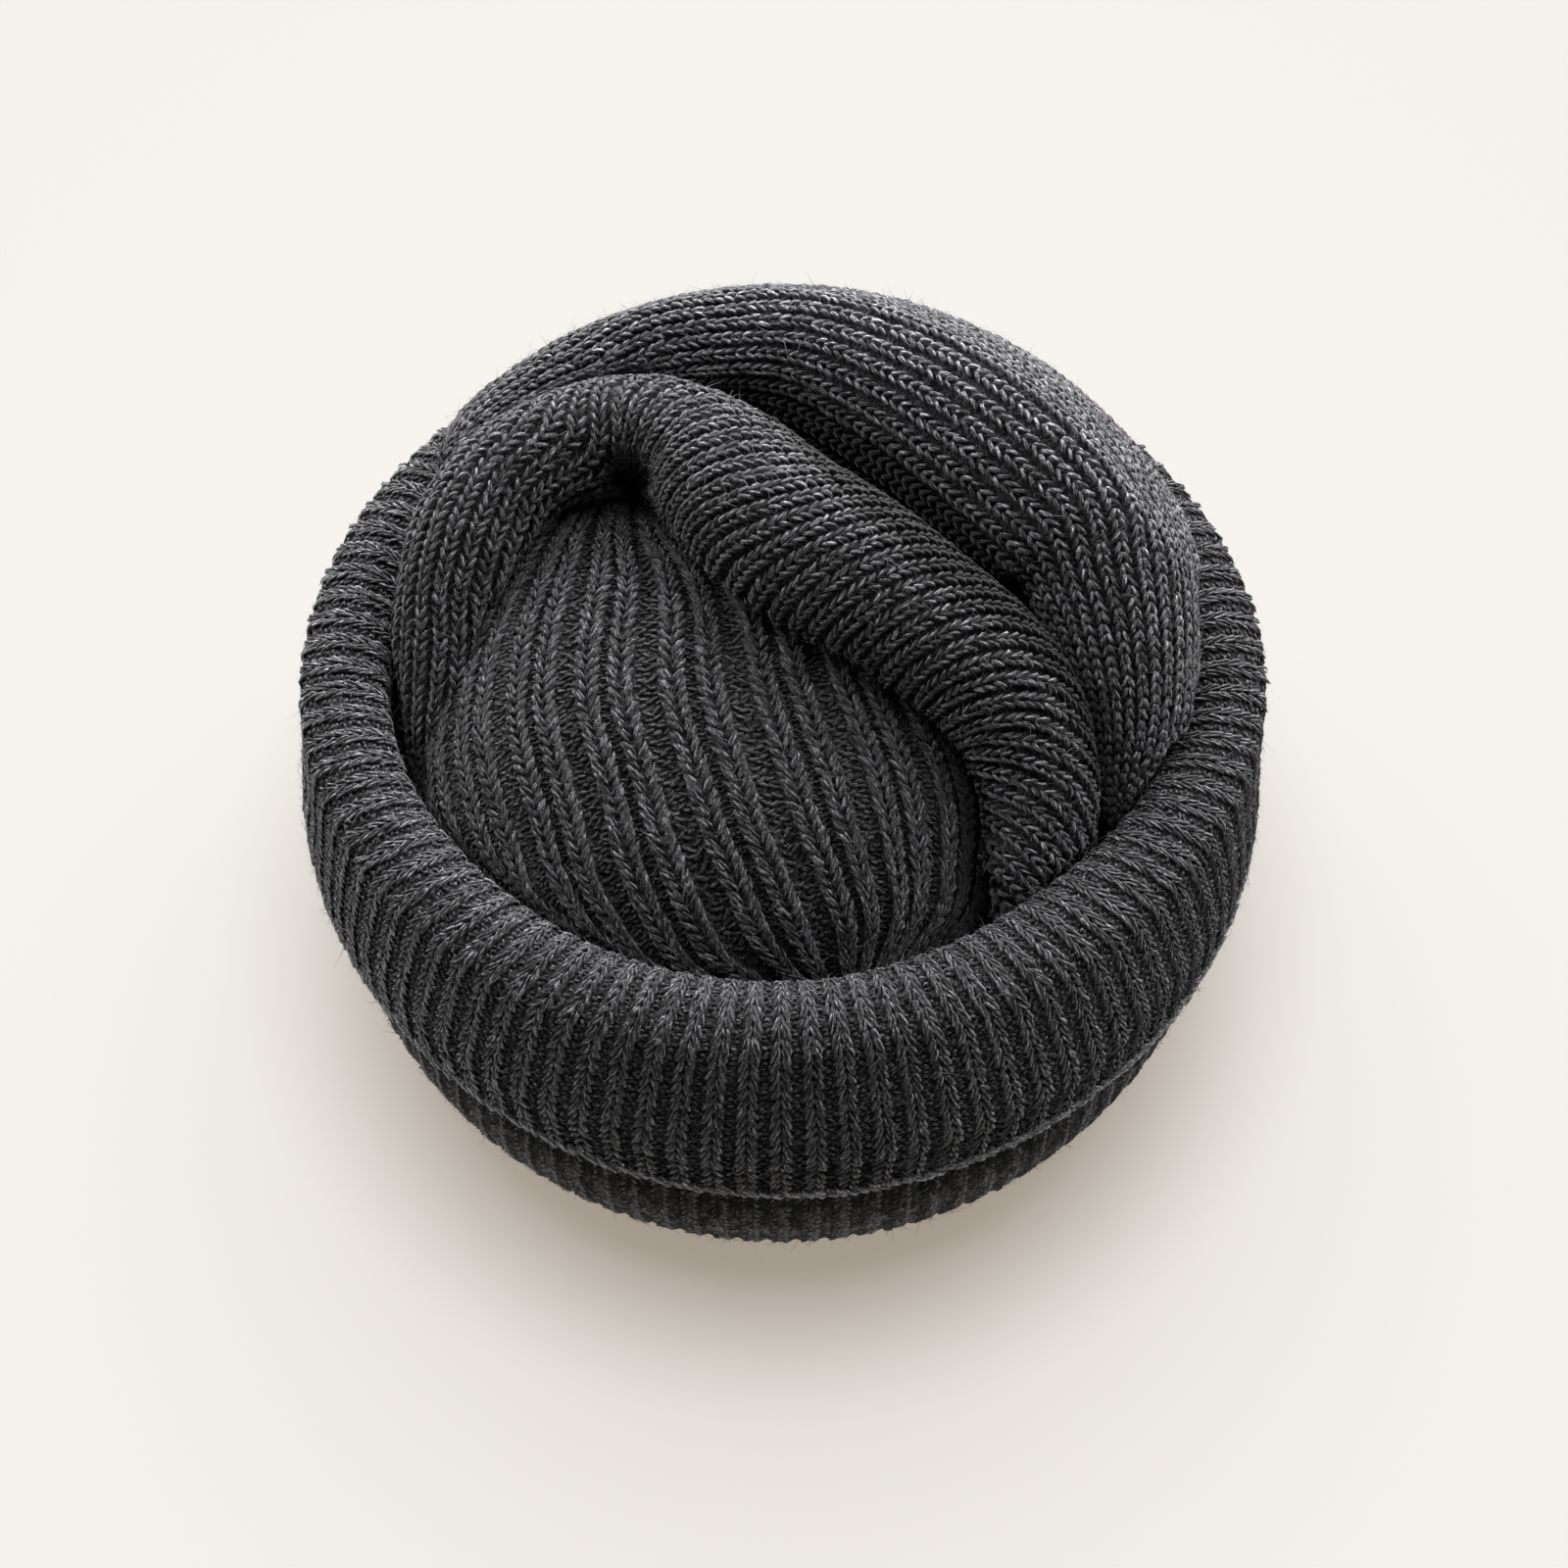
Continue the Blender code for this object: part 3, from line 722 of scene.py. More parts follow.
# Painted light along the outer roll, lighter towards its top.
OUTER_PAINTED_LIGHT = [(0, 0.84), (6, 0.86), (9, 1.0), (11, 1.10), (15, 1.10), (29, 1.04)]

# Painted shade: the least painted light left where a form dips into a crevice.
CREVICE_DARK, FLANK_DARK, MIDDLE_DARK, HEM_DARK = 0.08, 0.12, 0.25, 0.17
# Painted shade darkens the bundle from HEM_ROW, just under the hem, to HEM_CLEAR.
HEM_ROW, HEM_CLEAR = 6.0, 4.9  # the bundle's rows under the hem and out of its shade
BUNDLE_LIGHT = 0.8


def at_row(row, line):
    return np.interp(row, *zip(*line))


def dimmed(dark, value, zero, one):
    """From dark at zero to 1 at one."""
    return dark + (1 - dark) * eased(value, zero, one)


def core_calm(row, column):
    """1 on the core's left, where the ribs are stretched flat, and 0 over the rest of it."""
    slack = at_row(row, CORE_SLACK)
    return eased(column, slack, slack + 3.0)


def core_painted_shade(row, column):
    """Painted shade where the core dips under the middle roll, and painted light towards the pinch."""
    edge = at_row(row, CORE_DIP)
    return dimmed(CREVICE_DARK, column, edge - 1.0, edge + 1.4) * (1.0 + 0.25 * eased(row, 7.0, 3.5))


def outer_painted_shade(row, column):
    """Painted shade in the outer roll's crevice by the middle roll, and painted light along the roll.
    """
    edge = at_row(row, OUTER_DIP)
    return at_row(row, OUTER_PAINTED_LIGHT) * dimmed(CREVICE_DARK, column, edge + 0.6, edge - 1.2)


def middle_painted_shade(row, column):
    """Painted shade on the middle roll's flank by the outer roll and where it dips to the core."""
    flank = at_row(row, MIDDLE_FLANK)
    inner = np.where(row > MIDDLE_DIP[0][0], at_row(row, MIDDLE_DIP), INNER_COLUMN + 2.0)
    dip = dimmed(MIDDLE_DARK, column, inner + 0.6, inner - 0.8)
    return dip * dimmed(FLANK_DARK, column, flank - 1.2, flank + 1.0)


def painted_shade_under_hem(row):
    """Painted shade on the bundle, dark just under the cuff's hem."""
    return dimmed(HEM_DARK, row, HEM_ROW, HEM_CLEAR)


def bundle_painted_shade(row, column):
    """Painted shade on the bundle's cloth, darker in its gutters, beside its ribs and under the hem.
    """
    gutter, beside = wave(column / 2), wave(column)
    return BUNDLE_LIGHT * painted_shade_under_hem(row) * (1.0 - 0.45 * gutter) * (1.0 - 0.5 * beside)


def cuff_painted_light_and_shade(row, column):
    """Painted light at the cuff's hem, where the ribs close up, and painted shade on its crest in
    front.
    """
    crest = eased(np.abs(np.asarray(row) - CREST_ROW), 1.8, 0.3) * hem_row(column) / HEM_LIFT
    return (1.0 + 0.8 * eased(row - hem_row(column), 0.5, 0.15)) * (1.0 - 0.2 * crest)


# ------------------------ meshes
def link(name, points, quads, triangles=()):
    """A smooth mesh object from points in millimetres, quads and triangles."""
    data = bpy.data.meshes.new(name)
    data.vertices.add(len(points))
    data.vertices.foreach_set("co", (np.asarray(points) * MM).astype(np.float32).ravel())
    quads = np.asarray(quads, np.int32).reshape(-1, 4)
    triangles = np.asarray(triangles, np.int32).reshape(-1, 3)
    data.loops.add(quads.size + triangles.size)
    data.loops.foreach_set("vertex_index", np.concatenate([quads.ravel(), triangles.ravel()]))
    data.polygons.add(len(quads) + len(triangles))
    begins = np.append(np.arange(len(quads)) * 4, quads.size + np.arange(len(triangles)) * 3)
    data.polygons.foreach_set("loop_start", begins.astype(np.int32))
    data.polygons.foreach_set("use_smooth", np.ones(len(begins), bool))
    data.update(calc_edges=True)
    data.validate()
    made = bpy.data.objects.new(name, data)
    made.location.z = CENTRE_HEIGHT * MM
    scene.collection.objects.link(made)
    bpy.context.view_layer.update()
    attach(made, "root")
    return made


def paint(made, name, values):
    """A point attribute for the materials: numbers, or rows of three."""
    values = np.asarray(values, np.float32)
    kind, slot = ("FLOAT", "value") if values.ndim == 1 else ("FLOAT_VECTOR", "vector")
    made.data.attributes.new(name, kind, "POINT").data.foreach_set(slot, values.ravel())


def worm(rows, sides):
    """Faces of a tube with a tip at each end and len(rows) - 2 rings of sides points."""
    rings_count = len(rows) - 2
    quads, triangles = [], []
    last = 1 + rings_count * sides
    for j in range(sides):
        k = (j + 1) % sides
        triangles.append((0, 1 + k, 1 + j))
        triangles.append((last, last - sides + j, last - sides + k))
        for i in range(rings_count - 1):
            a = 1 + i * sides
            quads.append((a + j, a + k, a + sides + k, a + sides + j))
    return np.array(quads).reshape(-1, 4), np.array(triangles)


def yarn_pieces(strand, part):
    """Points, yarn coordinates and tone of one short length of yarn for each stitch."""
    rows, sides, mirror, ply, thick, wobble = part
    count = len(strand.place)
    rows = np.array(rows, float)
    width = strand.width[:, None]
    radius = (YARN_RADIUS[0] + YARN_RADIUS[1] * np.clip(width, *YARN_WIDTHS)) * thick

    def uneven(by, about=0.0):
        return jitter.normal(about, by, (count, 1))

    x = rows[:, 0] * width + ply * PLY + uneven(UNEVEN)
    y = rows[:, 1] * COURSE * uneven(UNEVEN_AHEAD, 1.0) + uneven(UNEVEN_AHEAD)
    lean = uneven(wobble)
    x, y = x + lean * (y - COURSE / 2), y - lean * (x - x.mean(axis=1, keepdims=True))
    x = mirror * (x - ply * PLY * (rows[:, 3] < 0.5))
    z = rows[:, 2] - YARN_SINK * radius + uneven(UNEVEN)
    line = strand.place[:, None]
    for way, by in ((strand.across, x), (strand.along, y), (strand.out, z)):
        line = line + way[:, None] * by[..., None]
    tangent = unit(np.gradient(line, axis=1))
    side = unit(np.cross(tangent, strand.out[:, None]))
    top = np.cross(side, tangent)
    size = radius * rows[:, 3] * (1 + uneven(UNEVEN_RADIUS))
    turn = 2 * math.pi * (np.arange(sides) + 0.5) / sides
    ring = (
        side[:, 1:-1, None] * np.cos(turn)[:, None]
        + top[:, 1:-1, None] * (FLATNESS * np.sin(turn)[:, None])
    )
    tube = line[:, 1:-1, None] + ring * size[:, 1:-1, None, None]
    points = np.concatenate([line[:, :1], tube.reshape(count, -1, 3), line[:, -1:]], axis=1)
    lengths = np.linalg.norm(np.diff(line, axis=1), axis=2)
    run = np.concatenate([np.zeros((count, 1)), np.cumsum(lengths, axis=1)], axis=1)
    spin = TWIST * run[:, 1:-1, None] + turn
    wide, far = size[:, 1:-1, None], np.repeat(run[:, 1:-1, None], sides, axis=2)
    local = np.stack([wide * np.cos(spin), wide * np.sin(spin), far], axis=3).reshape(count, -1, 3)
    ends = [np.stack([0 * run[:, i], 0 * run[:, i], run[:, i]], axis=1)[:, None] for i in (0, -1)]
    yarn = np.concatenate([ends[0], local, ends[1]], axis=1)
    yarn = yarn + jitter.uniform(0, YARN_ORIGINS, (count, 1, 3))
    tone = np.repeat(uneven(UNEVEN_TONE, 1.0).clip(*TONES), yarn.shape[1], axis=1)
    return points, yarn, tone


def stitched(name, strand, parts, material, painted_shade=1.0):
    """One mesh of many short yarns, each as light as its share of painted shade."""
    points, yarns, tones_and_painted_shade, quads, triangles, base = [], [], [], [], [], 0
    for part in parts:
        spots, yarn, tone = yarn_pieces(strand, part)
        count, each = spots.shape[:2]
        fours, threes = worm(part.rows, part.sides)
        if part.mirror < 0:
            fours, threes = fours[:, ::-1], threes[:, ::-1]
        shift = base + np.arange(count)[:, None, None] * each
        quads.append((fours + shift).reshape(-1, 4))
        triangles.append((threes + shift).reshape(-1, 3))
        points.append(spots.reshape(-1, 3))
        yarns.append(yarn.reshape(-1, 3))
        # Each yarn's random tone times its painted light and shade.
        tones_and_painted_shade.append((tone * np.reshape(painted_shade, (-1, 1))).ravel())
        base += count * each
    made = link(name, np.concatenate(points), np.concatenate(quads), np.concatenate(triangles))
    paint(made, "yarn", np.concatenate(yarns))
    paint(made, "tone", np.concatenate(tones_and_painted_shade))
    made.data.materials.append(material)
    return made


# ------------------------ materials
def given(owner, values):
    """Constants set on the sockets of a node."""
    for socket, value in values.items():
        owner.inputs[socket].default_value = value


def nodes_of(name, roughness, sheen=0.0):
    made = bpy.data.materials.new(name)
    made.use_nodes = True
    tree = made.node_tree
    shader = tree.nodes["Principled BSDF"]
    given(shader, {"Roughness": roughness, "Specular IOR Level": 0.25})
    given(shader, {"Sheen Weight": sheen, "Sheen Roughness": 0.45})
    return made, tree, shader


def node(tree, kind, inputs=None, **settings):
    made = tree.nodes.new("ShaderNode" + kind)
    for key, value in settings.items():
        setattr(made, key, value)
    for key, value in (inputs or {}).items():
        if isinstance(value, bpy.types.NodeSocket):
            tree.links.new(value, made.inputs[key])
        else:
            made.inputs[key].default_value = value
    return made


def greys(tree, factor, stops):
    """Colours by factor from stops of (factor, red and green, blue)."""
    made = node(tree, "ValToRGB", {"Fac": factor})
    line = made.color_ramp
    while len(line.elements) < len(stops):
        line.elements.new(0.5)
    for element, (place, grey, blue) in zip(line.elements, stops):
        element.position = place
        element.color = (grey, grey, blue, 1.0)
    return made.outputs["Color"]


def scaled(tree, vector, by):
    made = node(tree, "VectorMath", {0: vector, 1: by}, operation="MULTIPLY")
    return made.outputs["Vector"]


def noise(tree, vector, scale, detail, roughness, distortion=0.0):
    inputs = {"Scale": scale, "Detail": detail, "Roughness": roughness, "Distortion": distortion}
    return node(tree, "TexNoise", {"Vector": vector, **inputs}).outputs["Fac"]


def mixed(tree, share, first, second):
    inputs = {"Factor": share, "A": first, "B": second}
    return node(tree, "Mix", inputs, data_type="FLOAT").outputs["Result"]


def with_tone_and_painted_shade(tree, colour):
    """A colour times the mesh's tone: random tone of the yarn and painted light and shade."""
    tone = node(tree, "Attribute", attribute_name="tone").outputs["Fac"]
    made = node(tree, "VectorMath", {0: colour, "Scale": tone}, operation="SCALE")
    return made.outputs["Vector"]


def finish_material(tree, shader, colour, height, strength, distance):
    tree.links.new(colour, shader.inputs["Base Color"])
    inputs = {"Strength": strength, "Distance": distance, "Height": height}
    bump = node(tree, "Bump", inputs)
    tree.links.new(bump.outputs["Normal"], shader.inputs["Normal"])


TINT = (1.0, 1.0, 1.07)
YARN_GREYS = [
    (0.42, 0.006, 0.006), (0.48, 0.024, 0.024), (0.53, 0.078, 0.078),
    (0.58, 0.210, 0.210), (0.64, 0.420, 0.420),
]
BASE_GREYS = [(0.40, 0.003, 0.003), (0.52, 0.028, 0.030), (0.68, 0.130, 0.138)]
SOFT_GREYS = [(0.42, 0.008, 0.008), (0.48, 0.043, 0.043), (0.53, 0.120, 0.125), (0.59, 0.340, 0.355)]


def yarn_material(name, painted_light=1.0, contrast=1.0):
    """Melange yarn, dark fibres with lighter ones along the twist, made lighter or darker by painted
    light.
    """
    made, tree, shader = nodes_of(name, 0.75, 0.2)
    yarn = node(tree, "Attribute", attribute_name="yarn").outputs["Vector"]
    plies, hairs = (
        noise(tree, scaled(tree, yarn, size), 1.0, 2.0, 0.5)
        for size in ((6.0, 6.0, 0.8), (15.0, 15.0, 2.2))
    )
    fibres = mixed(tree, 0.48, plies, hairs)
    ends = {"From Min": 0.5 - 0.5 / contrast, "From Max": 0.5 + 0.5 / contrast}
    spread = node(tree, "MapRange", {"Value": fibres, **ends}, clamp=False)
    colour = with_tone_and_painted_shade(tree, greys(tree, spread.outputs["Result"], YARN_GREYS))
    # Painted light: the yarn's colour scaled up or down for each piece.
    colour = scaled(tree, colour, tuple(painted_light * tint for tint in TINT))
    finish_material(tree, shader, colour, fibres, 0.9, 0.00008)
    return made


def base_material(name):
    """The cloth between and behind the stitches: a fibre grain, painted dark as shade between them."""
    made, tree, shader = nodes_of(name, 0.95)
    place = node(tree, "TexCoord").outputs["Object"]
    grain = noise(tree, place, 2000.0, 3.0, 0.6, 1.5)
    finish_material(tree, shader, with_tone_and_painted_shade(tree, greys(tree, grain, BASE_GREYS)), grain, 1.0, 0.0002)
    return made


def soft_material(name):
    """The bundle's cloth, with melange fibres of its own."""
    made, tree, shader = nodes_of(name, 0.95)
    given(shader, {"Specular IOR Level": 0.08})
    place = scaled(tree, node(tree, "TexCoord").outputs["Object"], (1.0, 1.0, 0.4))
    coarse, fine = (noise(tree, place, scale, 3.0, 0.65, 1.2) for scale in (700.0, 2600.0))
    fibres = mixed(tree, 0.6, coarse, fine)
    colour = with_tone_and_painted_shade(tree, greys(tree, fibres, SOFT_GREYS))
    finish_material(tree, shader, colour, fibres, 1.0, 0.00012)
    return made


def fuzz_material(name):
    made, _, shader = nodes_of(name, 0.7, 0.3)
    given(shader, {"Base Color": (0.16, 0.16, 0.168, 1.0)})
    return made


def paper_material(name):
    made, _, shader = nodes_of(name, 0.9)
    given(shader, {"Base Color": (0.86, 0.835, 0.79, 1.0), "Specular IOR Level": 0.1})
    given(shader, {"Emission Color": (1.0, 0.86, 0.70, 1.0), "Emission Strength": 0.34})
    return made


# ------------------------ cloth
WALL = 1.2
WALL_MOST = 0.4  # of the way to the middle
CALM_LIFT = 0.45
# How deep a cloth lies under its form on a rib, and in a gutter.
CORE_SINKS = (0.45, 1.10)
ROLL_SINKS = (0.45, 0.90)
CUFF_SINKS = (0.36, 0.46)
BUNDLE_SINKS = (0.12, 0.38)
BASE = base_material("knit_base")
SOFT = soft_material("soft_knit")


def half_steps(last):
    return np.arange(0, last + 0.01, 0.5)


def top_columns(ribs, under=UNDER_POINTS + 1):
    """Half columns over a form's ribs and whole ones under it."""
    top = 2 * ribs.count
    return np.concatenate([np.arange(0, top, 0.5), np.arange(top, top + under)])


def squares(rows, columns):
    """Faces of a grid of points that closes both ways, row by row."""
    i, j = np.meshgrid(np.arange(rows), np.arange(columns), indexing="ij")
    next_i, next_j = (i + 1) % rows * columns, (j + 1) % columns
    i = i * columns
    return np.stack([i + j, i + next_j, next_i + next_j, next_i + j], axis=2).reshape(-1, 4)


def cloth(name, form, ribs, rows, columns, sinks, painted_shade, calm=None, material=BASE):
    """A thin shell on a form, ribbed outside and plain inside, at these rows and columns."""
    grid_rows, grid_columns = np.meshgrid(rows, columns, indexing="ij")
    flat_rows, flat_columns = grid_rows.ravel(), grid_columns.ravel()
    points = on(form, form.points, flat_rows, flat_columns)
    normal = on(form, form.normals, flat_rows, flat_columns)
    deep = wave(ribs(flat_rows, flat_columns))
    if calm:
        deep = deep * (1 - calm(flat_rows, flat_columns))
    depth = sinks[0] + (sinks[1] - sinks[0]) * deep**1.5
    outer = (points - normal * depth[:, None]).reshape(*grid_rows.shape, 3)
    middle = outer.mean(axis=1, keepdims=True)
    reach = np.linalg.norm(outer - middle, axis=2, keepdims=True)
    inner = middle + (outer - middle) * (1 - np.minimum(WALL / np.maximum(reach, 1e-6), WALL_MOST))
    n, m = grid_rows.shape
    quads, triangles, all_points = [], [], []
    j = np.arange(m)
    k = (j + 1) % m
    for grid, way in ((outer, 1), (inner, -1)):
        base = sum(len(part) for part in all_points)
        quads.append(squares(n, m)[: (n - 1) * m, ::way] + base)
        first = np.stack([k, j, 0 * j + n * m], axis=1)
        last = np.stack([(n - 1) * m + j, (n - 1) * m + k, 0 * j + n * m + 1], axis=1)
        triangles.append(np.concatenate([first, last])[:, ::way] + base)
        all_points += [grid.reshape(-1, 3), grid[0].mean(axis=0)[None], grid[-1].mean(axis=0)[None]]
    made = link(name, np.concatenate(all_points), np.concatenate(quads), np.concatenate(triangles))
    # The tone attribute holds the painted shade of the cloth, and 1 at its two caps.
    tones_and_painted_shade = np.append(painted_shade(flat_rows, flat_columns), (1.0, 1.0))
    paint(made, "tone", np.tile(tones_and_painted_shade, 2))
    made.data.materials.append(material)
    return made


def finish_cloth(made, name):
    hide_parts(name)


# ------------------------ dressing
FUZZ = fuzz_material("fuzz")
# Fibres stand only on stitches whose painted light is above this, out of the painted crevice shade.
FUZZ_PAINTED_LIGHT = 0.6  # fibres stand only on stitches lighter than this


def fuzzed(name, strand, count):
    """Short loose fibres that stand off the stitches, each a ribbon of two quads."""
    pick = jitter.integers(0, len(strand.place), count)
    place, along, out, across, width = (part[pick] for part in strand)
    root = (
        place
        + across * (jitter.uniform(-0.3, 0.3, count) * width)[:, None]
        + along * (jitter.uniform(-0.5, 0.5, count) * COURSE)[:, None]
    )
    turn = jitter.uniform(0, 2 * math.pi, count)
    lift = np.radians(FUZZ_LIFT[1] * jitter.uniform(0, 1, count) ** 2 + FUZZ_LIFT[0])
    flat = along * np.cos(turn)[:, None] + across * np.sin(turn)[:, None]
    ahead = flat * np.cos(lift)[:, None] + out * np.sin(lift)[:, None]
    bend = jitter.normal(0, 0.5, (count, 3)) - 0.25 * out
    length = jitter.gamma(4.0, 0.26, count).clip(*FUZZ_LENGTH)[:, None]
    side = unit(np.cross(ahead, bend))
    thin = jitter.uniform(*FUZZ_HALF_WIDTH, count)[:, None]
    points = np.empty((count, 3, 2, 3))
    for i, step in enumerate((0, 0.5, 1)):
        spot = root + length * (ahead * step + bend * (0.6 * step * step))
        edge = side * thin * (1 - FUZZ_TAPER * step)
        points[:, i, 0], points[:, i, 1] = spot + edge, spot - edge
    first = 6 * np.arange(count)[:, None, None] + 2 * np.arange(2)[None, :, None]
    quads = first + np.array([0, 1, 3, 2])
    made = link(f"{name}_fuzz", points.reshape(-1, 3), quads.reshape(-1, 4))
    made.data.materials.append(FUZZ)
    return made


def dressed(
    name, form, ribs, lines, purls, low, high, yarns, painted_shade,
    knit=ROLL_KNIT, purl=ROLL_PURL, fuzz=4000, calm=None, edge=None,
):
    """The knit and purl stitches of a form, on ribs through lines and gutters through purls."""
    made = []
    kinds = zip(("knit", "purl"), (lines, purls), (knit, purl), yarns)
    for suffix, begun, parts, material in kinds:
        places = traced(form, ribs, *begun, low, high)
        if edge:
            places = places[places[:, 0] > edge(places[:, 1]) + low[0]]
        strand = strands(form, ribs, places)
        # Painted light and shade of each stitch.
        painted_light = painted_shade(*places.T)
        # Purls on the flat stretch are lifted out of the gutter and get painted light, as the knit
        # does.
        if calm and suffix == "purl":
            flat = calm(*places.T)
            strand = strand._replace(place=strand.place + CALM_LIFT * flat[:, None] * strand.out)
            painted_light = painted_light * (1 + 0.25 * flat)
        piece = stitched(f"{name}_{suffix}", strand, parts, material, painted_light)
        made.append(piece)
        if suffix == "knit":
            # Fibres only where the painted shade is light.
            out_of_painted_shade = Strand(*(part[painted_light > FUZZ_PAINTED_LIGHT] for part in strand))
            loose = fuzzed(name, out_of_painted_shade, fuzz)
    return made + [loose]


# the core
grid = settled_rings(CORE, evenly(CORE, CORE_RINGS), CORE_RIBS, [])
CORE_FORM = surface(grid, per_row=8, per_column=4)
last = CORE_FORM.rows - 1
# Painted light: the core's yarn darker, its purls darker still as painted shade in the gutters.
yarns = yarn_material("melange_core", 0.60, 1.1), yarn_material("melange_core_purl", 0.40)
core_bits = dressed(
    "core", CORE_FORM, core_ribs, core_starts(0.0), core_starts(0.5), (0.4, 0.0),
    (last, CORE_COLUMNS), yarns, core_painted_shade, knit=CORE_KNIT, purl=CORE_PURL, calm=core_calm,
)
rows, columns = half_steps(2 * last) / 2, top_columns(CORE_RIBS)
made = cloth("core_cloth", CORE_FORM, core_ribs, rows, columns, CORE_SINKS, core_painted_shade, core_calm)
finish_cloth(made, "core")

# the outer roll
grid = settled_rings(OUTER, evenly(OUTER, OUTER_RINGS), OUTER_RIBS, [CORE, MIDDLE])
OUTER_FORM = surface(grid, per_row=6, per_column=4)
last = OUTER_FORM.rows - 1
ribs_at = 2 / ROLL_SHARE * np.arange(0, ROLL_SHARE * OUTER_RIBS.count)
lines, purls = starts(ROLL_START, ribs_at), starts(ROLL_START, ribs_at + 1 / ROLL_SHARE)
# Painted light: the outer roll's yarn lighter, its purls darker as painted shade in the gutters.
yarns = yarn_material("melange_outer", 1.5, 0.85), yarn_material("melange_outer_purl", 0.9)
outer_bits = dressed(
    "outer_roll", OUTER_FORM, outer_ribs, lines, purls, (0.2, -1), (last - 0.3, 60), yarns,
    outer_painted_shade,
)
rows, columns = half_steps(last), top_columns(OUTER_RIBS)
made = cloth("outer_cloth", OUTER_FORM, outer_ribs, rows, columns, ROLL_SINKS, outer_painted_shade)
finish_cloth(made, "outer_roll")

# the middle roll
grid = drawn_down(settled_rings(MIDDLE, MIDDLE_LENGTHS, MIDDLE_RIBS, [CORE]))
MIDDLE_FORM = surface(grid, per_row=4, per_column=4)
last = MIDDLE_FORM.rows - 1
# Painted light: the middle roll's yarn lighter, its purls darker as painted shade in the gutters.
yarns = yarn_material("melange_middle", 1.15, 0.85), yarn_material("melange_purl", 0.75)
middle_bits = dressed(
    "middle_roll", MIDDLE_FORM, middle_ribs, middle_starts(0.0), middle_starts(0.5),
    (0.25, -0.5), (last - 0.2, INNER_COLUMN + 0.01), yarns, middle_painted_shade,
)
rows, columns = half_steps(last), top_columns(MIDDLE_RIBS, UNDER_POINTS)
made = cloth("middle_cloth", MIDDLE_FORM, middle_ribs, rows, columns, ROLL_SINKS, middle_painted_shade)
finish_cloth(made, "middle_roll")

# the cuff
CUFF_FORM = turned_surface(lambda azimuth: cuff_profile(rim_at([azimuth])[0]), 6)
last = CUFF_FORM.rows - 1
even, odd = np.arange(0, CUFF_COLUMNS, 2), np.arange(1, CUFF_COLUMNS, 2)
# Painted shade: the cuff's purls darker in the gutters.
yarns = yarn_material("melange_cuff"), yarn_material("melange_cuff_purl", 0.7)
cuff_bits = dressed(
    "cuff", CUFF_FORM, cuff_ribs, starts(last - 0.1, even), starts(last - 0.1, odd), (0.12, -1),
    (last, CUFF_COLUMNS + 1), yarns, cuff_painted_light_and_shade, knit=CUFF_KNIT, purl=CUFF_PURL, fuzz=5000,
    edge=hem_row,
)
# Painted highlight: the hem's loops lighter than the cuff's yarn.
HEM_YARN = yarn_material("melange_hem", 1.9)
HEM_LOOPS = 288
HEM_WIDTH = 1.8
HEM_DROP = 0.15
HEM_UNEVEN = 0.05


def hem_chain(name, at, thick):
    """Bound-off loops along the cuff's lower edge."""
    column = CUFF_COLUMNS * np.arange(HEM_LOOPS) / HEM_LOOPS
    row = hem_row(column) + at
    place = on(CUFF_FORM, CUFF_FORM.points, row, column)
    out = normals_at(CUFF_FORM, row, column)
    along = unit(np.roll(place, -1, axis=0) - np.roll(place, 1, axis=0))
    place = place - np.array([0, 0, HEM_DROP]) + jitter.normal(0, HEM_UNEVEN, (HEM_LOOPS, 3))
    strand = Strand(place, along, out, np.cross(along, out), np.full(HEM_LOOPS, HEM_WIDTH))
    made = stitched(name, strand, [Part(HEM_LOOP, 4, 1, 0, thick, 0.15)], HEM_YARN)
    return [made, fuzzed(name, strand, 1200)]


def cuff_cloth():
    """The cuff's two sides in one closed band, which starts at the hem."""
    columns = half_steps(CUFF_COLUMNS - 0.5)
    rows, columns = np.meshgrid(half_steps(CUFF_FORM.rows - 1), columns, indexing="ij")
    rows = np.maximum(rows, hem_row(columns))
    points = on(CUFF_FORM, CUFF_FORM.points, rows, columns)
    normal = on(CUFF_FORM, CUFF_FORM.normals, rows, columns)
    depth = CUFF_SINKS[0] + (CUFF_SINKS[1] - CUFF_SINKS[0]) * wave(cuff_ribs(rows, columns))
    outer = points - normal * depth[..., None]
    inner = (points - normal * CLOTH)[::-1]
    grid = np.concatenate([outer, inner])
    n, m = grid.shape[:2]
    made = link("cuff_cloth", grid.reshape(-1, 3), squares(n, m))
    paint(made, "tone", np.ones(n * m))
    made.data.materials.append(BASE)
    return made


cuff_bits += hem_chain("cuff_hem", 0.02, 1.8) + hem_chain("cuff_hem_upper", 0.17, 1.7)
finish_cloth(cuff_cloth(), "cuff")

# the bundle
BUNDLE_FORM = turned_surface(lambda azimuth: np.array(BUNDLE), 5)
# Painted shade: the bundle's yarn darker than the cuff's.
BUNDLE_YARN = yarn_material("melange_bundle", 0.64)
last = BUNDLE_FORM.rows - 1
low, high = (1.3, -1), (last - 1.5, CUFF_COLUMNS + 1)
places = traced(BUNDLE_FORM, straight, *starts(last - 2.0, even), low, high)
strand = strands(BUNDLE_FORM, straight, places)
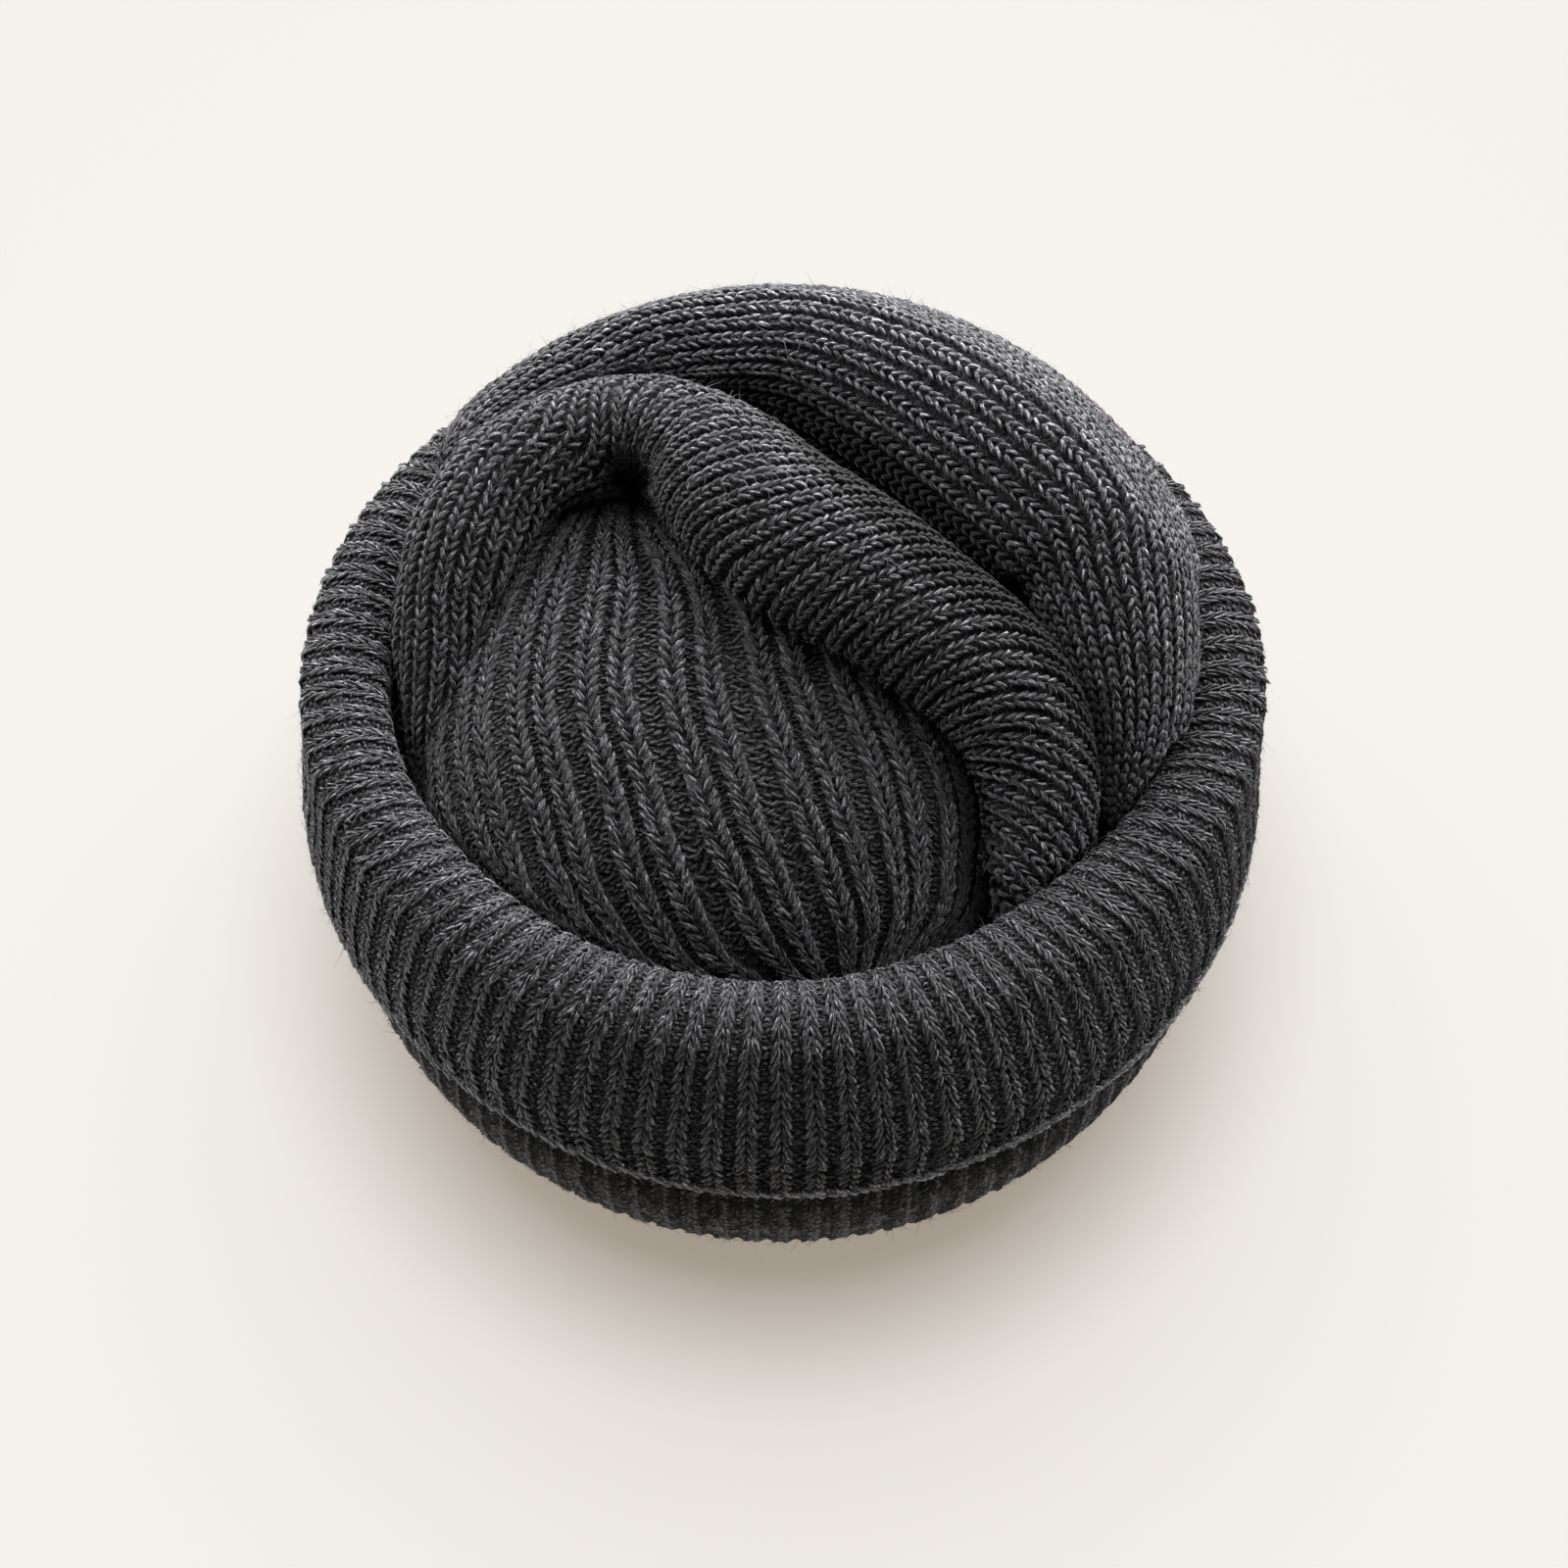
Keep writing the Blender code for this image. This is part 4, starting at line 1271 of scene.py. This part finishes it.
# Painted shade of the bundle's stitches under the hem.
painted_light = painted_shade_under_hem(places[:, 0])
bundle_knit = stitched("bundle_knit", strand, BUNDLE_KNIT, BUNDLE_YARN, painted_light)
bundle_bits = [bundle_knit, fuzzed("bundle", strand, 5000)]
rows, columns = half_steps(last), half_steps(CUFF_COLUMNS - 0.5)
made = cloth(
    "bundle_cloth", BUNDLE_FORM, straight, rows, columns, BUNDLE_SINKS, bundle_painted_shade, material=SOFT
)
finish_cloth(made, "bundle")

# ------------------------ floor, light and camera
FLOOR = 4.0
floor_mesh = bpy.data.meshes.new("floor")
corners = [(-FLOOR, -FLOOR, 0), (FLOOR, -FLOOR, 0), (FLOOR, FLOOR, 0), (-FLOOR, FLOOR, 0)]
floor_mesh.from_pydata(corners, [], [(0, 1, 2, 3)])
floor = bpy.data.objects.new("floor", floor_mesh)
floor.data.materials.append(paper_material("paper"))
scene.collection.objects.link(floor)
floor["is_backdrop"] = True

world = bpy.data.worlds.new("studio")
world.use_nodes = True
sky = world.node_tree.nodes["Background"]
given(sky, {"Color": (1.0, 0.985, 0.965, 1.0), "Strength": 0.05})
scene.world = world

BALL = Vector((0, 0, CENTRE_HEIGHT * MM))
COOL = (0.87, 0.92, 1.0)
Lamp = namedtuple("Lamp", "name place size power colour", defaults=((1.0, 1.0, 1.0),))
PAIR_LAMPS = [
    Lamp("softbox", (0.0, 0.70, 0.35), 0.5, 13.5),
    Lamp("left", (-0.5, 0.25, 0.5), 0.5, 3.4),
    Lamp("top", (0.0, 0.2, 0.9), 0.6, 1.6),
    Lamp("right", (0.5, 0.25, 0.5), 0.5, 5.1),
]
FLOOR_LAMPS = [
    Lamp("above", (0.0, -0.10, 0.9), 0.4, 3.4, COOL),
    Lamp("beyond", (0.0, 0.25, 0.9), 1.3, 4.4, COOL),
]


def looking(name, data, place, way):
    """A lamp or camera at a place, turned to look along way."""
    made = bpy.data.objects.new(name, data)
    made.location = place
    made.rotation_euler = way.to_track_quat("-Z", "Y").to_euler()
    scene.collection.objects.link(made)
    return made


def lit(receivers, lamps):
    """Lamps that reach these objects alone."""
    for lamp in lamps:
        data = bpy.data.lights.new(lamp.name, "AREA")
        data.shape = "DISK"
        data.size, data.energy, data.color = lamp.size, lamp.power, lamp.colour
        made = looking(lamp.name, data, lamp.place, BALL - Vector(lamp.place))
        group = bpy.data.collections.new(f"lit_by_{lamp.name}")
        for receiver in receivers:
            group.objects.link(receiver)
        made.light_linking.receiver_collection = group


lit(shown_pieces(), PAIR_LAMPS)
lit([floor], FLOOR_LAMPS)

PHOTO_SIZE = 1600  # pixels
SHIFT_RIGHT, SHIFT_UP = 3, -21  # pixels
ELEVATION, DISTANCE = math.radians(60.0), 0.3895
camera_data = bpy.data.cameras.new("camera")
camera_data.lens = 85.0
camera_data.sensor_width = 36.0
camera_data.shift_x = SHIFT_RIGHT / PHOTO_SIZE
camera_data.shift_y = SHIFT_UP / PHOTO_SIZE
camera_data.clip_start = 0.01
back = Vector((0, -math.cos(ELEVATION), math.sin(ELEVATION)))
scene.camera = looking("camera", camera_data, BALL + back * DISTANCE, -back)
scene.view_settings.view_transform = "Standard"
